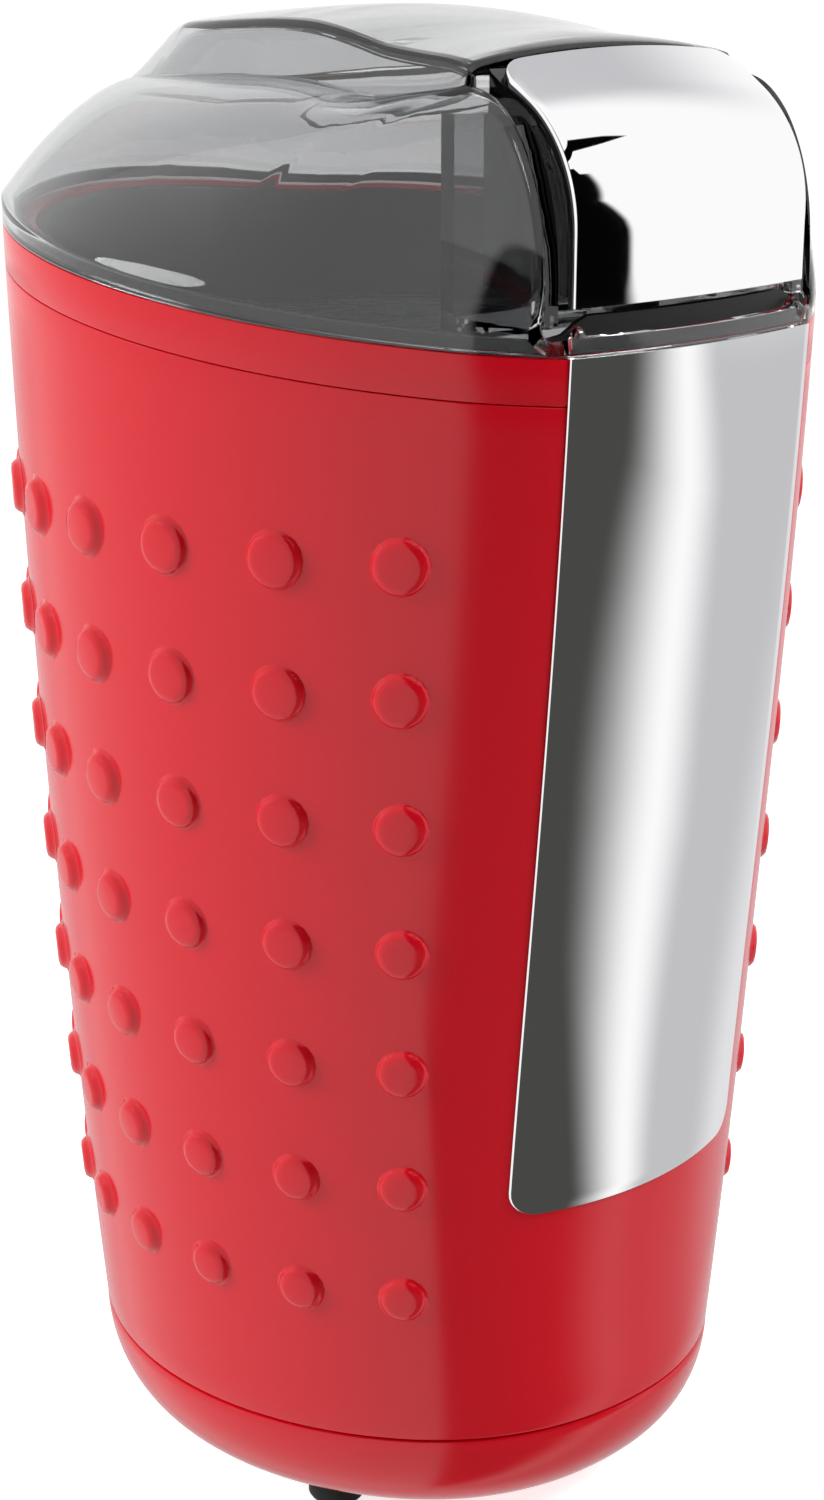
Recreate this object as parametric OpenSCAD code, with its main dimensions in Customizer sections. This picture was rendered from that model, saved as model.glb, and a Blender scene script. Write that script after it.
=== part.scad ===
// Electric spice and coffee grinder with a push-down lid button.
// Millimetres. +Z up, the front with the bright plate faces -Y, feet stand on z = 0.

/* [Body] */
// Motor axis behind the middle of the footprint
axis_y = 3.8; // [0:0.1:8]
// Height of the lid joint above the table, on the motor axis
rim_z = 158.7; // [150:0.1:170]
// Rise of the lid joint per mm towards the back
rim_tilt = 0.128; // [0:0.001:0.2]
// Height of the joint between housing and base cover
seam_z = 16.7; // [12:0.1:25]
// Height of the red ring under the lid
collar_h = 5.3; // [3:0.1:8]
// Wall of the plastic mouldings
wall = 2.4; // [1.6:0.1:3]
// Back radius at the lid joint
back_r_top = 46.0; // [40:0.1:52]
// Back radius at the base joint
back_r_low = 38.4; // [30:0.1:46]
// Side radius at the lid joint
side_r_top = 54.6; // [46:0.1:70]
// Side radius at the base joint
side_r_low = 46.0; // [38:0.1:60]
// Front shoulder radius at the lid joint
shoulder_r_top = 4.6; // [2:0.1:10]
// Front shoulder radius at the base joint
shoulder_r_low = 35.9; // [20:0.1:38]
// Front radius at the lid joint
front_r_top = 43.8; // [40:0.1:60]
// Front radius at the base joint
front_r_low = 48.4; // [40:0.1:60]
// Forward shift of the plan at the base joint
low_shift = 1.1; // [0:0.1:3]
// How far the taper is held back to the lower half
taper_bow = 0.624; // [0:0.01:0.8]

/* [Grip dots] */
// Rows of dots
dot_rows = 7; // [1:8]
// Columns of dots from the front shoulder to the back line
dot_cols = 10; // [4:10]
// Top row below the lid joint
dot_drop = 29.2; // [20:0.1:40]
// Row spacing
dot_pitch = 15.35; // [10:0.05:18]
// Radius of a top row dot
dot_r_top = 3.2; // [2:0.1:5]
// Radius of a bottom row dot
dot_r_low = 2.7; // [2:0.1:5]
// Height of a dot
dot_h = 1.2; // [0.5:0.1:2]

/* [Front plate] */
// Half width of the bright front plate
plate_half = 19.95; // [15:0.05:24]
// Thickness of the plate
plate_t = 0.8; // [0.5:0.1:1.5]
// Height of its lower edge
plate_z = 47.2; // [30:0.1:80]

/* [Base] */
// Underside of the base cover
base_z = 3.3; // [2:0.1:6]
// Flat underside as a share of the plan
base_flat = 0.75; // [0.6:0.01:0.95]
// Foot radius
foot_r = 3.7; // [3:0.1:8]

/* [Lid] */
// Front line of the arch behind the body's front
arch_in = 3.2; // [1.5:0.1:8]
// Height of the arch's crown over the lid joint
arch_top = 21.0; // [16:0.1:26]
// Depth of the arch's curve
arch_deep = 12.5; // [8:0.1:16]
// Back end of the raised middle
spine_back = 35.0; // [26:0.1:40]
// Half width of the raised middle of the lid
spine_half = 22.0; // [15:0.1:26]
// Wall of the clear moulding
lid_t = 1.6; // [1.2:0.1:3]
// Height of the upright edge of the lid
lid_edge = 2.4; // [1:0.1:4]
// Gap each side between button and chamber
button_gap = 0.5; // [0.3:0.1:1.5]
// Wall of the chamber behind the button
chamber_t = 1.3; // [1:0.1:2]
// Front line of the button's face behind the body's front
face_in = 1.7; // [0.2:0.1:6]
// Radius of the bend in the button's face
face_r = 16.0; // [8:0.1:20]
// Lean of the face's upper part
face_lean = 56; // [40:1:75]
// Depth of the face from its front line to its back edge
face_deep = 12.4; // [9:0.1:15]
// Height of the bend's start over the lid joint
face_bend = 6.4; // [2:0.1:10]
// Lower edge of the face against the lid joint
face_low = -2.0; // [-3:0.1:0]
// Sheet of the button's bright face
face_t = 1.2; // [0.8:0.1:2]
// Button travel
button_travel = 1.8; // [1:0.1:3]

/* [Bowl] */
// Space from the body's back to the bowl
bowl_in = 12.0; // [11.5:0.1:17]
// Depth of the deck's top face below the lid joint
deck_drop = 13.2; // [11:0.1:20]
// Depth of the bowl below the deck
bowl_depth = 35.5; // [30:0.1:45]
// Corner radius of the bowl
bowl_turn = 8.4; // [4:0.1:14]
// Sheet of the bowl
bowl_t = 0.8; // [0.5:0.1:1.5]
// Space from the blade's tips to the bowl
blade_gap = 5.0; // [2:0.1:12]

/* [Motor] */
// Shaft radius
shaft_r = 3.0; // [2:0.1:5]
// Radial running clearance of the bushes
run_gap = 0.04; // [0.01:0.01:0.1]
// Radius of the armature
armature_r = 16.5; // [12:0.1:22]
// Air gap
air_gap = 0.5; // [0.3:0.1:1]
// Underside of the lower bearing bracket
low_z = 27.0; // [24:0.1:32]
// Height of the brush holders over that bracket
brush_rise = 10.6; // [8:0.1:14]
// Radius of the commutator
commutator_r = 9.0; // [7:0.1:11]
// Height of the iron stack
stack_h = 26.0; // [15:0.5:32]
// Radius of the circle of posts
post_circle = 30.6; // [30.4:0.1:31.4]
// Post radius
post_r = 3.2; // [2.8:0.1:3.4]
// Half distance of the motor's two long bolts
bolt_x = 21.4; // [20.6:0.1:22]
// Clearance of screws and bolts in their holes
hole_gap = 0.1; // [0.05:0.01:0.3]

/* [Switch] */
// Distance of the switch pin behind the body's front
pin_in = 11.2; // [9:0.1:14]
// Space from the bowl's wall to the switch pin
pin_room = 7.9; // [7.9:0.1:12]
// Distance from the lever's pivot to the switch pin
lever_arm = 9.0; // [8:0.1:10]

/* [Hidden] */
$fn = 64;
seat = 0.02;
band_z = rim_z - collar_h;
deck_z = rim_z - deck_drop;
deck_t = 2.5;
bowl_z = deck_z - bowl_depth;
bracket_z = bowl_z - 8.5;
bracket_t = 2.5;
brush_z = low_z + brush_rise;
stack_z = brush_z + 18.4;
blade_z = bowl_z + 6.65;
blade_t = 1.4;
button_half = spine_half - lid_t - chamber_t + 0.4 - button_gap;
floor_z = rim_z - 5.5;
floor_t = 1.4;
body_h = rim_z - seam_z;
blend_back = 122.4;
blend_top = 49.2;
blend_low = 48.4;
plan_mid = -4.9;
front_y = -plan(0, 0)[1];
arch_front = front_y - arch_in;
face_front = front_y - face_in;
face_back = face_front - face_deep;
pin_front = front_y - pin_in;
bowl_r = min(back_r_top - bowl_in, pin_front - pin_room);
blade_len = 2 * (bowl_r - blade_gap);
stack_top = stack_z + stack_h;
flange_z = deck_z + 0.7;
lip_z = flange_z + bowl_t;
post_x = post_circle * cos(20);
post_y = post_circle * sin(20);
bore_r = armature_r + air_gap;
boss_ring = 14;
core_x = bolt_x + 3.6;
core_y = bore_r + 4;
slot_x = core_x - 9.5;
slot_y = core_y - 7.5;
hub_r = 6.6;
hub_h = 4.4;
lip_w = 5.0;
deck_hole = bowl_r + 2.2;
tray_off = wall + 2.2;
tray_t = 1.4;
small_screw = 1.45;
bolt_r = 1.7;
bush_r = 6.0;
mount_h = 1.8;
post_top = bracket_z - 2.3;
screw_seat = base_z + 2.2;
post_low = seam_z - 0.5;
base_in = wall + 1.6;
gland_z = seam_z + 10.9;
low_t = 3;
holder_len = 14.4;
fan_z = stack_top + 8.5;
fan_r = bolt_x - 3.8;
stub_r = 2.15;
peg_r = 1.7;
red = [0.80, 0.08, 0.11];
iron = [0.45, 0.46, 0.48];
bronze = [0.70, 0.55, 0.30];
brass = [0.80, 0.65, 0.30];
carbon = [0.20, 0.20, 0.21];
black = [0.06, 0.06, 0.07];
steel = [0.75, 0.76, 0.78];
chrome = [0.85, 0.86, 0.88];
copper = [0.72, 0.42, 0.22];
smoke = [0.35, 0.36, 0.38, 0.4];

// ---------- plan of the body ----------
function mix(a, b, t) = a + (b - a) * t;
function clamp01(t) = min(1, max(0, t));
function way(p) = [sin(p), -cos(p)];
function drop(z) = clamp01((rim_z - z) / body_h);
function taper(z) = let (s = drop(z)) s - taper_bow * s * (1 - s);
// one point of the outline: p runs from 0 at the front to 180 at the back
function plan_raw(p, t) =
    let (rb = mix(back_r_top, back_r_low, t), rs = mix(side_r_top, side_r_low, t),
        rc = mix(shoulder_r_top, shoulder_r_low, t), rf = mix(front_r_top, front_r_low, t),
        pc = mix(blend_top, blend_low, t), cb = [0, -low_shift * t],
        cs = cb + (rb - rs) * way(blend_back), cc = cs + (rs - rc) * way(pc),
        pf = asin(max(-0.99, min(0.99, cc[0] / (rf - rc)))),
        cf = cc + (rc - rf) * way(pf), q = abs(p),
        pt = q < pf ? cf + rf * way(q)
            : q < pc ? cc + rc * way(q)
            : q < blend_back ? cs + rs * way(q) : cb + rb * way(q))
    [p < 0 ? -pt[0] : pt[0], pt[1]];
// angle at which the outline passes the plate's edge
function plate_angle(t) =
    let (rb = mix(back_r_top, back_r_low, t), rs = mix(side_r_top, side_r_low, t),
        rc = mix(shoulder_r_top, shoulder_r_low, t), rf = mix(front_r_top, front_r_low, t),
        pc = mix(blend_top, blend_low, t), cb = [0, -low_shift * t],
        cc = cb + (rb - rs) * way(blend_back) + (rs - rc) * way(pc),
        pf = asin(max(-0.99, min(0.99, cc[0] / (rf - rc)))))
    plate_half <= rf * sin(pf) ? asin(plate_half / rf) : asin((plate_half - cc[0]) / rc);
// the front between the plate's edges is flatter near the lid
function plan(p, t) =
    let (raw = plan_raw(p, t), pa = plate_angle(t), edge = plan_raw(pa, t),
        flat = mix(0.3, 1, clamp01(t / 0.65)))
    abs(p) < pa ? [raw[0], edge[1] + (raw[1] - edge[1]) * flat] : raw;
function wall_point(p, z, off) = plan(p, taper(z)) - off * [way(abs(p))[0] * (p < 0 ? -1 : 1),
    way(abs(p))[1]];
// height of a level after the lid joint's slope is fed in
function slope_z(z, y) = z + rim_tilt * y * clamp01((z - seam_z) / (band_z - seam_z));
half_angles = [0, 8, 16, 22, 26, 30, 36, 43, 50, 58, 66, 74, 82, 90, 99, 108, 117, 126, 135,
    144, 153, 162, 171];
angles = concat(half_angles, [180], [for (i = [len(half_angles) - 1 : -1 : 1]) -half_angles[i]]);

// rings of points to one closed skin; caps close the first and last ring
module skin(rings, caps) {
    n = len(rings[0]);
    m = len(rings);
    pts = [for (r = rings) each r];
    last = caps ? m - 2 : m - 1;
    side = [for (i = [0 : last], j = [0 : n - 1])
        let (a = i * n + j, b = i * n + (j + 1) % n, c = ((i + 1) % m) * n + (j + 1) % n,
            d = ((i + 1) % m) * n + j) each [[a, c, b], [a, d, c]]];
    ends = caps ? [[for (j = [0 : n - 1]) j], [for (j = [n - 1 : -1 : 0]) (m - 1) * n + j]] : [];
    polyhedron(pts, concat(side, ends), convexity = 8);
}
// a wall section [offset, z, slope share] swept round the body
function level(off, z, share) = [for (p = angles)
    let (q = wall_point(p, z, off)) [q[0], q[1], z + rim_tilt * share * q[1]]];
function sloped(off, z) = [for (p = angles)
    let (q = wall_point(p, z, off)) [q[0], q[1], slope_z(z, q[1])]];
function circle_level(r, z) = [for (p = angles) [r * way(abs(p))[0] * (p < 0 ? -1 : 1),
    r * way(abs(p))[1], z]];
// the outline at the base joint shrunk towards its middle
function base_level(k, off, z) = [for (p = angles)
    let (q = wall_point(p, seam_z, off)) [q[0] * k, plan_mid + (q[1] - plan_mid) * k, z]];
module on_axis() { translate([0, axis_y, 0]) children(); }
module each_post() {
    for (x = [-1, 1], y = [-1, 1]) translate([x * post_x, y * post_y, 0]) children();
}
module ring(r_out, r_in, z, h) {
    translate([0, 0, z]) difference() {
        cylinder(r = r_out, h = h);
        translate([0, 0, -1]) cylinder(r = r_in, h = h + 2);
    }
}
module screw(r, len, head_r, head_h) {
    // head up, tip down, head seat on z = 0
    difference() {
        union() {
            translate([0, 0, -len]) cylinder(r = r, h = len + 0.1);
            cylinder(r = head_r, h = head_h);
        }
        for (a = [0, 90]) rotate([0, 0, a])
            translate([-head_r * 0.6, -head_r * 0.12, head_h * 0.45])
                cube([head_r * 1.2, head_r * 0.24, head_h]);
    }
}
// round wire coil, open ends, standing on z = 0
coil_seg = 14;
function coil_point(r, wire, n, h, i, k) = let (a = i * 360 / coil_seg, b = k * 72)
    [(r + wire * cos(b)) * cos(a), (r + wire * cos(b)) * sin(a),
    wire + (h - 2 * wire) * i / n + wire * sin(b)];
module coil(r, wire, turns, h) {
    n = turns * coil_seg;
    skin([for (i = [0 : n]) [for (k = [4 : -1 : 0]) coil_point(r, wire, n, h, i, k)]], true);
}

// ---------- casing ----------
module housing_shell() color(red) on_axis() {
    outer = [for (i = [0 : 9]) mix(seam_z, band_z, i / 9)];
    inner = [for (i = [0 : 4]) mix(band_z, seam_z, i / 4)];
    difference() {
        union() {
            skin(concat([for (z = outer) sloped(0, z)], [for (z = inner) sloped(wall, z)]), false);
            grip_dots();
        }
        at_gland() translate([0, 0, -10]) cylinder(r = 5, h = 20);
    }
}
dot_angles = [48.9, 64.3, 79.9, 94.8, 109.1, 123, 137, 151.4, 165.8, 180];
module grip_dots() {
    for (row = [0 : dot_rows - 1], col = [0 : dot_cols - 1], side = [-1, 1])
        if (col < 9 || side > 0) {
            z = rim_z - dot_drop - row * dot_pitch;
            p = dot_angles[col];
            r = mix(dot_r_top, dot_r_low, row / (dot_rows - 1));
            q = plan(p, taper(z));
            up = plan(p, taper(z + 2));
            low = plan(p, taper(z - 2));
            lean = atan(((up - low) * way(p)) / 4);
            translate([side * q[0], q[1], z])
                rotate([0, 0, atan2(-cos(p), side * sin(p))]) rotate([0, 90 + lean, 0])
                    rotate_extrude($fn = 20) polygon([[0, -1], [r, -1], [r, dot_h * 0.35],
                        [r - 0.35, dot_h * 0.8], [r - 0.9, dot_h], [0, dot_h]]);
        }
}
module top_collar() color(red) on_axis() skin([
    level(0.15, band_z + 0.05, 1), level(0, band_z + 0.3, 1), level(0, rim_z - 0.5, 1),
    level(0.5, rim_z - 0.05, 1), level(4.4, rim_z - 0.05, 1), level(4.4, band_z - 4.5, 1),
    level(wall + 0.1, band_z - 4.5, 1), level(wall + 0.1, band_z + 0.05, 1)], false);
plate_corner = 3.5;
plate_rows = [0, 0.3, 1.2, 2.4, plate_corner, 8, 18, 30, 45, 60, 75, 90, 104];
function plate_half_at(h) = h < plate_corner ? plate_half - 1.2 - plate_corner +
    sqrt(max(0, pow(plate_corner, 2) - pow(plate_corner - h, 2))) + 1.2 * h / plate_corner
    : plate_half;
function plate_point(u, h, off) =
    let (z = plate_z + h, x = u * plate_half_at(h), pa = plate_angle(taper(z)),
        p = asin(max(-1, min(1, x / plate_half)) * sin(pa)), q = wall_point(p, z, -off))
    [x, q[1], slope_z(z, q[1])];
module front_trim_plate() color(chrome) on_axis()
    skin([for (h = concat(plate_rows, [rim_z - plate_z - 0.05]))
        concat([for (i = [-8 : 8]) plate_point(i / 8, h, plate_t)],
            [for (i = [8 : -1 : -8]) plate_point(i / 8, h, 0.1)])], true);
base_h = seam_z - base_z;
function base_share(d) = base_flat + (1 - base_flat) * sqrt(max(0, 1 - pow(d / base_h, 2)));
module base_cover() color(red) on_axis() {
    outs = [base_h, 13.2, 12.4, 11, 9, 6.5, 3.5, 0.3];
    ins = [1, 4, 7, 9.5, 11];
    difference() {
        union() {
            skin(concat([for (d = outs) base_level(base_share(d), 0, seam_z - d)],
                [base_level(1, 0.2, seam_z - 0.05), base_level(1, wall + 0.1, seam_z - 0.05),
                base_level(1, wall + 0.1, seam_z + 4), base_level(1, base_in, seam_z + 4)],
                [for (d = ins) base_level(base_share(d), base_in, seam_z - d)]), true);
            each_post() translate([0, 0, base_z + 1.6])
                cylinder(r = post_r, h = post_low - base_z - 1.6 - seat);
        }
        foot_places() translate([0, 0, base_z - 1]) cylinder(r = peg_r + hole_gap, h = 6);
        each_post() {
            translate([0, 0, base_z - 1]) cylinder(r = 2.9, h = screw_seat - base_z + 1);
            translate([0, 0, base_z - 1]) cylinder(r = small_screw + hole_gap, h = post_low);
        }
        for (i = [-4 : 4]) translate([i * 4 - 0.8, -12 + abs(i) - 2, base_z - 1])
            cube([1.6, 22 - 2 * abs(i), 6]);
    }
}
module foot_places() {
    for (x = [-1, 1]) {
        translate([x * 24.5, -18.6, 0]) children();
        translate([x * 18.0, 15.6, 0]) children();
    }
}
module rubber_feet() color(black) on_axis() foot_places() rotate_extrude()
    polygon([[0, 0], [foot_r - 0.5, 0], [foot_r, 0.5], [foot_r, base_z - seat],
        [peg_r, base_z - seat], [peg_r, base_z + 3.4], [0, base_z + 3.4]]);
module base_screws() color(steel) on_axis() each_post() translate([0, 0, screw_seat - seat])
    mirror([0, 0, 1]) screw(small_screw, post_low - screw_seat + 9, 2.7, 1.9);

// ---------- bowl and deck ----------
module bowl_bosses() { for (a = [90, 210, 330]) rotate([0, 0, a]) translate([boss_ring, 0, 0])
    children(); }
module grinding_bowl() color(steel) on_axis() {
    r = bowl_r;
    turn = bowl_turn;
    difference() {
        rotate_extrude($fn = 96) union() {
            translate([hub_r, bowl_z]) square([r - turn - hub_r + 0.1, bowl_t]);
            intersection() {
                translate([r - turn, bowl_z + turn + bowl_t]) difference() {
                    circle(r = turn + bowl_t);
                    circle(r = turn);
                }
                translate([r - turn, bowl_z]) square([turn + bowl_t, turn + bowl_t]);
            }
            translate([r, bowl_z + turn + bowl_t - 0.05])
                square([bowl_t, lip_z - bowl_z - turn - bowl_t + 0.05]);
            translate([r, flange_z]) square([lip_w, bowl_t]);
            translate([hub_r, bowl_z]) square([bowl_t, hub_h]);
        }
        bowl_bosses() translate([0, 0, bowl_z - 1]) cylinder(r = small_screw + hole_gap, h = 4);
        guide_notch();
    }
}
module guide_notch() {
    translate([0, -pin_front, deck_z - 1]) cylinder(r = guide_rim + 0.3, h = 5);
}
module bowl_gasket() color(black) on_axis() difference() {
    ring(bowl_r + lip_w - 0.5, deck_hole + 0.2, deck_z + seat, flange_z - deck_z - 2 * seat);
    guide_notch();
}
module bowl_screws() color(steel) on_axis() bowl_bosses()
    translate([0, 0, bowl_z + bowl_t + seat]) screw(small_screw, 5.5, 2.6, 1.3);
module deck_tray() color(black) on_axis() difference() {
    skin([level(tray_off, deck_z - deck_t, 0), level(tray_off, rim_z - 0.6, 1),
        level(tray_off + tray_t, rim_z - 0.6, 1), level(tray_off + tray_t, deck_z, 0),
        circle_level(deck_hole, deck_z), circle_level(deck_hole, deck_z - deck_t)], false);
    at_pin() translate([0, 0, deck_z - 5]) cylinder(r = guide_r + 0.04, h = 10);
    for (x = [-1, 1]) at_pin() translate([x * 8, 0, deck_z - 5])
        cylinder(r = 1 + hole_gap, h = 10);
}
module chassis_posts() color(black) on_axis() each_post() difference() {
    translate([0, 0, post_low]) cylinder(r = post_r, h = post_top - post_low);
    translate([0, 0, post_low - 1]) cylinder(r = small_screw + 0.05, h = 12.6);
    translate([0, 0, post_top - 13]) cylinder(r = small_screw + 0.05, h = 14);
}

// ---------- motor ----------
module both_bolts() { for (x = [-1, 1]) translate([x * bolt_x, 0, 0]) children(); }
module upper_bearing_bracket() color(steel) on_axis() difference() {
    union() {
        translate([-bolt_x - 5.6, -9, bracket_z]) cube([2 * bolt_x + 11.2, 18, bracket_t]);
        translate([0, 0, bracket_z]) cylinder(r = 18.5, h = bracket_t);
        translate([0, 0, bracket_z - 2]) cylinder(r = bush_r + 3, h = 6.8);
        for (x = [-1, 1], y = [-1, 1]) {
            translate([x * post_x, y * post_y, bracket_z]) cylinder(r = 5.4, h = bracket_t);
            translate([x > 0 ? 16 : -post_x, y > 0 ? 3 : -post_y - 3, bracket_z])
                cube([post_x - 16, post_y, bracket_t]);
        }
        bowl_bosses() translate([0, 0, bracket_z + 2])
            cylinder(r = 3.4, h = bowl_z - bracket_z - 2 - seat);
    }
    each_post() translate([0, 0, bracket_z - 1]) cylinder(r = small_screw + 0.2, h = 5);
    translate([0, 0, bracket_z - 8]) cylinder(r = bush_r, h = 20);
    both_bolts() translate([0, 0, bracket_z - 1]) cylinder(r = bolt_r + hole_gap, h = 5);
    bowl_bosses() translate([0, 0, bracket_z - 1]) cylinder(r = small_screw + 0.05, h = 12);
}
module bush(z, h) { ring(bush_r - seat, shaft_r + run_gap, z, h); }
module upper_bush() color(bronze) on_axis() bush(bracket_z - 2, 6.8);
module lower_bush() color(bronze) on_axis() bush(low_z - 3, 7);
module motor_mount_bushes() color(black) on_axis() each_post() {
    ring(5.0, small_screw + 0.2, bracket_z + bracket_t + seat, mount_h);
    ring(5.0, small_screw + 0.2, post_top + seat, bracket_z - post_top - 2 * seat);
}
module post_screws() color(steel) on_axis() each_post()
    translate([0, 0, bracket_z + bracket_t + mount_h + 2 * seat]) screw(small_screw, 16, 3.2, 1.5);
module stator_core() color(iron) on_axis() difference() {
    translate([-core_x, -core_y, stack_z]) cube([2 * core_x, 2 * core_y, stack_h]);
    translate([0, 0, stack_z - 1]) cylinder(r = bore_r, h = stack_h + 2, $fn = 96);
    for (x = [-1, 1], y = [-1, 1]) translate([x * slot_x - 4.3, y * slot_y - 3.7, stack_z - 1])
        cube([8.6, 7.4, stack_h + 2]);
    both_bolts() translate([0, 0, stack_z - 1]) cylinder(r = bolt_r + hole_gap, h = stack_h + 2);
}
module field_coil() {
    difference() {
        translate([-slot_x - 3.9, slot_y - 0.3, stack_z - 6])
            cube([2 * slot_x + 7.8, 3.6, stack_h + 12]);
        translate([-slot_x + 4, slot_y - 1.3, stack_z - 0.4])
            cube([2 * slot_x - 8, 6, stack_h + 0.8]);
    }
}
module field_coil_front() color(copper) on_axis() mirror([0, 1, 0]) field_coil();
module field_coil_rear() color(copper) on_axis() field_coil();
module stator_bolts() color(steel) on_axis() both_bolts()
    translate([0, 0, bracket_z + bracket_t + seat])
        screw(bolt_r, bracket_z + bracket_t - low_z + 4, 3.2, 1.8);
module stator_nuts() color(steel) on_axis() both_bolts() translate([0, 0, low_z - 2.6])
    difference() {
        cylinder(r = 3.3, h = 2.5, $fn = 6);
        translate([0, 0, -1]) cylinder(r = bolt_r + seat, h = 5);
    }
module lower_bearing_bracket() color(steel) on_axis() difference() {
    union() {
        translate([-bolt_x - 3.9, -9, low_z]) cube([2 * bolt_x + 7.8, 18, low_t]);
        translate([0, 0, low_z]) cylinder(r = 18, h = low_t);
        translate([0, 0, low_z - 3]) cylinder(r = bush_r + 3, h = 7);
    }
    translate([0, 0, low_z - 8]) cylinder(r = bush_r, h = 20);
    both_bolts() translate([0, 0, low_z - 8]) cylinder(r = bolt_r + hole_gap, h = 20);
}
module spacer_sleeves() color(steel) on_axis() both_bolts() {
    ring(3.0, bolt_r + hole_gap, low_z + low_t + seat, stack_z - low_z - low_t - 2 * seat);
    ring(3.0, bolt_r + hole_gap, stack_top + seat, bracket_z - stack_top - 2 * seat);
}
module brush_side(rear) { rotate([0, 0, rear ? 90 : -90]) children(); }
module brush_holder() {
    difference() {
        union() {
            translate([commutator_r + 1.6, -4.2, brush_z]) cube([holder_len, 8.4, 8.8]);
            translate([commutator_r + 2.5, -4.2, low_z + low_t + seat])
                cube([5, 8.4, brush_z - low_z - low_t + 0.4]);
        }
        translate([commutator_r, -2.6, brush_z + 1.4]) cube([20, 5.2, 6.2]);
    }
}
module carbon_brush() {
    difference() {
        translate([commutator_r + 0.05, -2.5, brush_z + 1.5]) cube([9.5, 5.0, 6.0]);
        translate([0, 0, brush_z + 0.4]) cylinder(r = commutator_r + 0.08, h = 8);
    }
}
module brush_holder_front() color(brass) on_axis() brush_side(false) brush_holder();
module brush_holder_rear() color(brass) on_axis() brush_side(true) brush_holder();
module carbon_brush_front() color(carbon) on_axis() brush_side(false) carbon_brush();
module carbon_brush_rear() color(carbon) on_axis() brush_side(true) carbon_brush();
module brush_springs() color(steel) on_axis() for (k = [false, true]) brush_side(k)
    translate([commutator_r + 9.6, 0, brush_z + 4.5]) rotate([0, 90, 0])
        coil(1.9, 0.3, 4, holder_len - 8.75);
module brush_caps() color(black) on_axis() for (k = [false, true]) brush_side(k)
    translate([commutator_r + 1.6 + holder_len - 0.75, 0, brush_z]) union() {
        translate([0, -2.55, 1.45]) cube([1.4, 5.1, 6.1]);
        translate([0.77, -4.2, 0]) cube([1.2, 8.4, 8.8]);
    }
module rotor_shaft() color(steel) on_axis() {
    translate([0, 0, low_z - 6]) cylinder(r = shaft_r, h = blade_z - seat - low_z + 6);
    translate([0, 0, blade_z - 1]) cylinder(r = stub_r, h = 7.4);
}
module armature_core() color(iron) on_axis() difference() {
    translate([0, 0, stack_z]) cylinder(r = armature_r, h = stack_h, $fn = 96);
    translate([0, 0, stack_z - 1]) cylinder(r = shaft_r + 0.01, h = stack_h + 2);
    for (a = [0 : 30 : 330]) rotate([0, 0, a])
        translate([armature_r - 6, -1.3, stack_z - 1]) cube([8, 2.6, stack_h + 2]);
}
module armature_winding() color(copper) on_axis() {
    w = armature_r - 3.9;
    for (end = [0, 1]) translate([0, 0, end ? stack_top : stack_z]) mirror([0, 0, 1 - end])
        rotate_extrude() polygon([[shaft_r + 0.05, seat], [w, seat], [w, 3.5], [w - 1.4, 6.2],
            [w - 6.1, 7.2], [shaft_r + 0.05, 7.2]]);
    for (a = [0 : 30 : 330]) rotate([0, 0, a])
        translate([w - 1.9, -1.1, stack_z - 0.1]) cube([1.8, 2.2, stack_h + 0.2]);
}
module commutator() color(copper) on_axis() difference() {
    ring(commutator_r, shaft_r + 0.01, brush_z - 1.6, 11);
    for (a = [0 : 15 : 345]) rotate([0, 0, a])
        translate([commutator_r - 0.8, -0.15, brush_z - 2.1]) cube([2, 0.3, 12]);
}
module cooling_fan() color(black) on_axis() {
    ring(6.0, shaft_r + 0.01, fan_z, bracket_z - 2.9 - seat - fan_z);
    ring(fan_r, 5.9, fan_z, 1.4);
    for (a = [0 : 36 : 324]) rotate([0, 0, a])
        translate([10, -0.6, fan_z + 1.3]) cube([fan_r - 10.5, 1.2, 5.6]);
}
module thrust_washers() color(steel) on_axis() {
    ring(5.2, shaft_r + 0.01, low_z + 4.06, 0.8);
    ring(5.2, shaft_r + 0.01, bracket_z - 2.9, 0.8);
}
module shaft_seal() color(black) on_axis()
    ring(hub_r - 0.05, shaft_r + 0.08, bowl_z + 0.4, hub_h - 1.2);
module blade_spacer() color(steel) on_axis()
    ring(5.0, shaft_r + 0.01, bowl_z + hub_h + 0.3, blade_z - bowl_z - hub_h - 0.32);
module blade() color(steel) on_axis() rotate([0, 0, 35]) {
    tip = blade_len / 2 - 11.2;
    difference() {
        union() {
            translate([-11, -5, blade_z]) cube([22, 10, blade_t]);
            for (k = [0, 1]) rotate([0, 0, 180 * k])
                translate([10.9, 0, blade_z]) rotate([0, k ? -7 : 5, 0])
                    rotate([k ? 14 : 12, 0, 0]) linear_extrude(height = blade_t)
                        polygon([[-0.8, -4.6], [tip - 4, -4.2], [tip, -1.5], [tip, 1.6],
                            [tip - 3, 4.2], [-0.8, 4.6]]);
        }
        translate([0, 0, blade_z - 5]) cylinder(r = stub_r + 0.05, h = 12);
    }
}
module blade_nut() color(steel) on_axis() translate([0, 0, blade_z + blade_t + 0.05])
    difference() {
        union() {
            cylinder(r = 5.2, h = 0.8);
            translate([0, 0, 0.7]) cylinder(r = 4.2, h = 2.8, $fn = 6);
        }
        translate([0, 0, -1]) cylinder(r = stub_r + 0.03, h = 6);
    }

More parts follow.
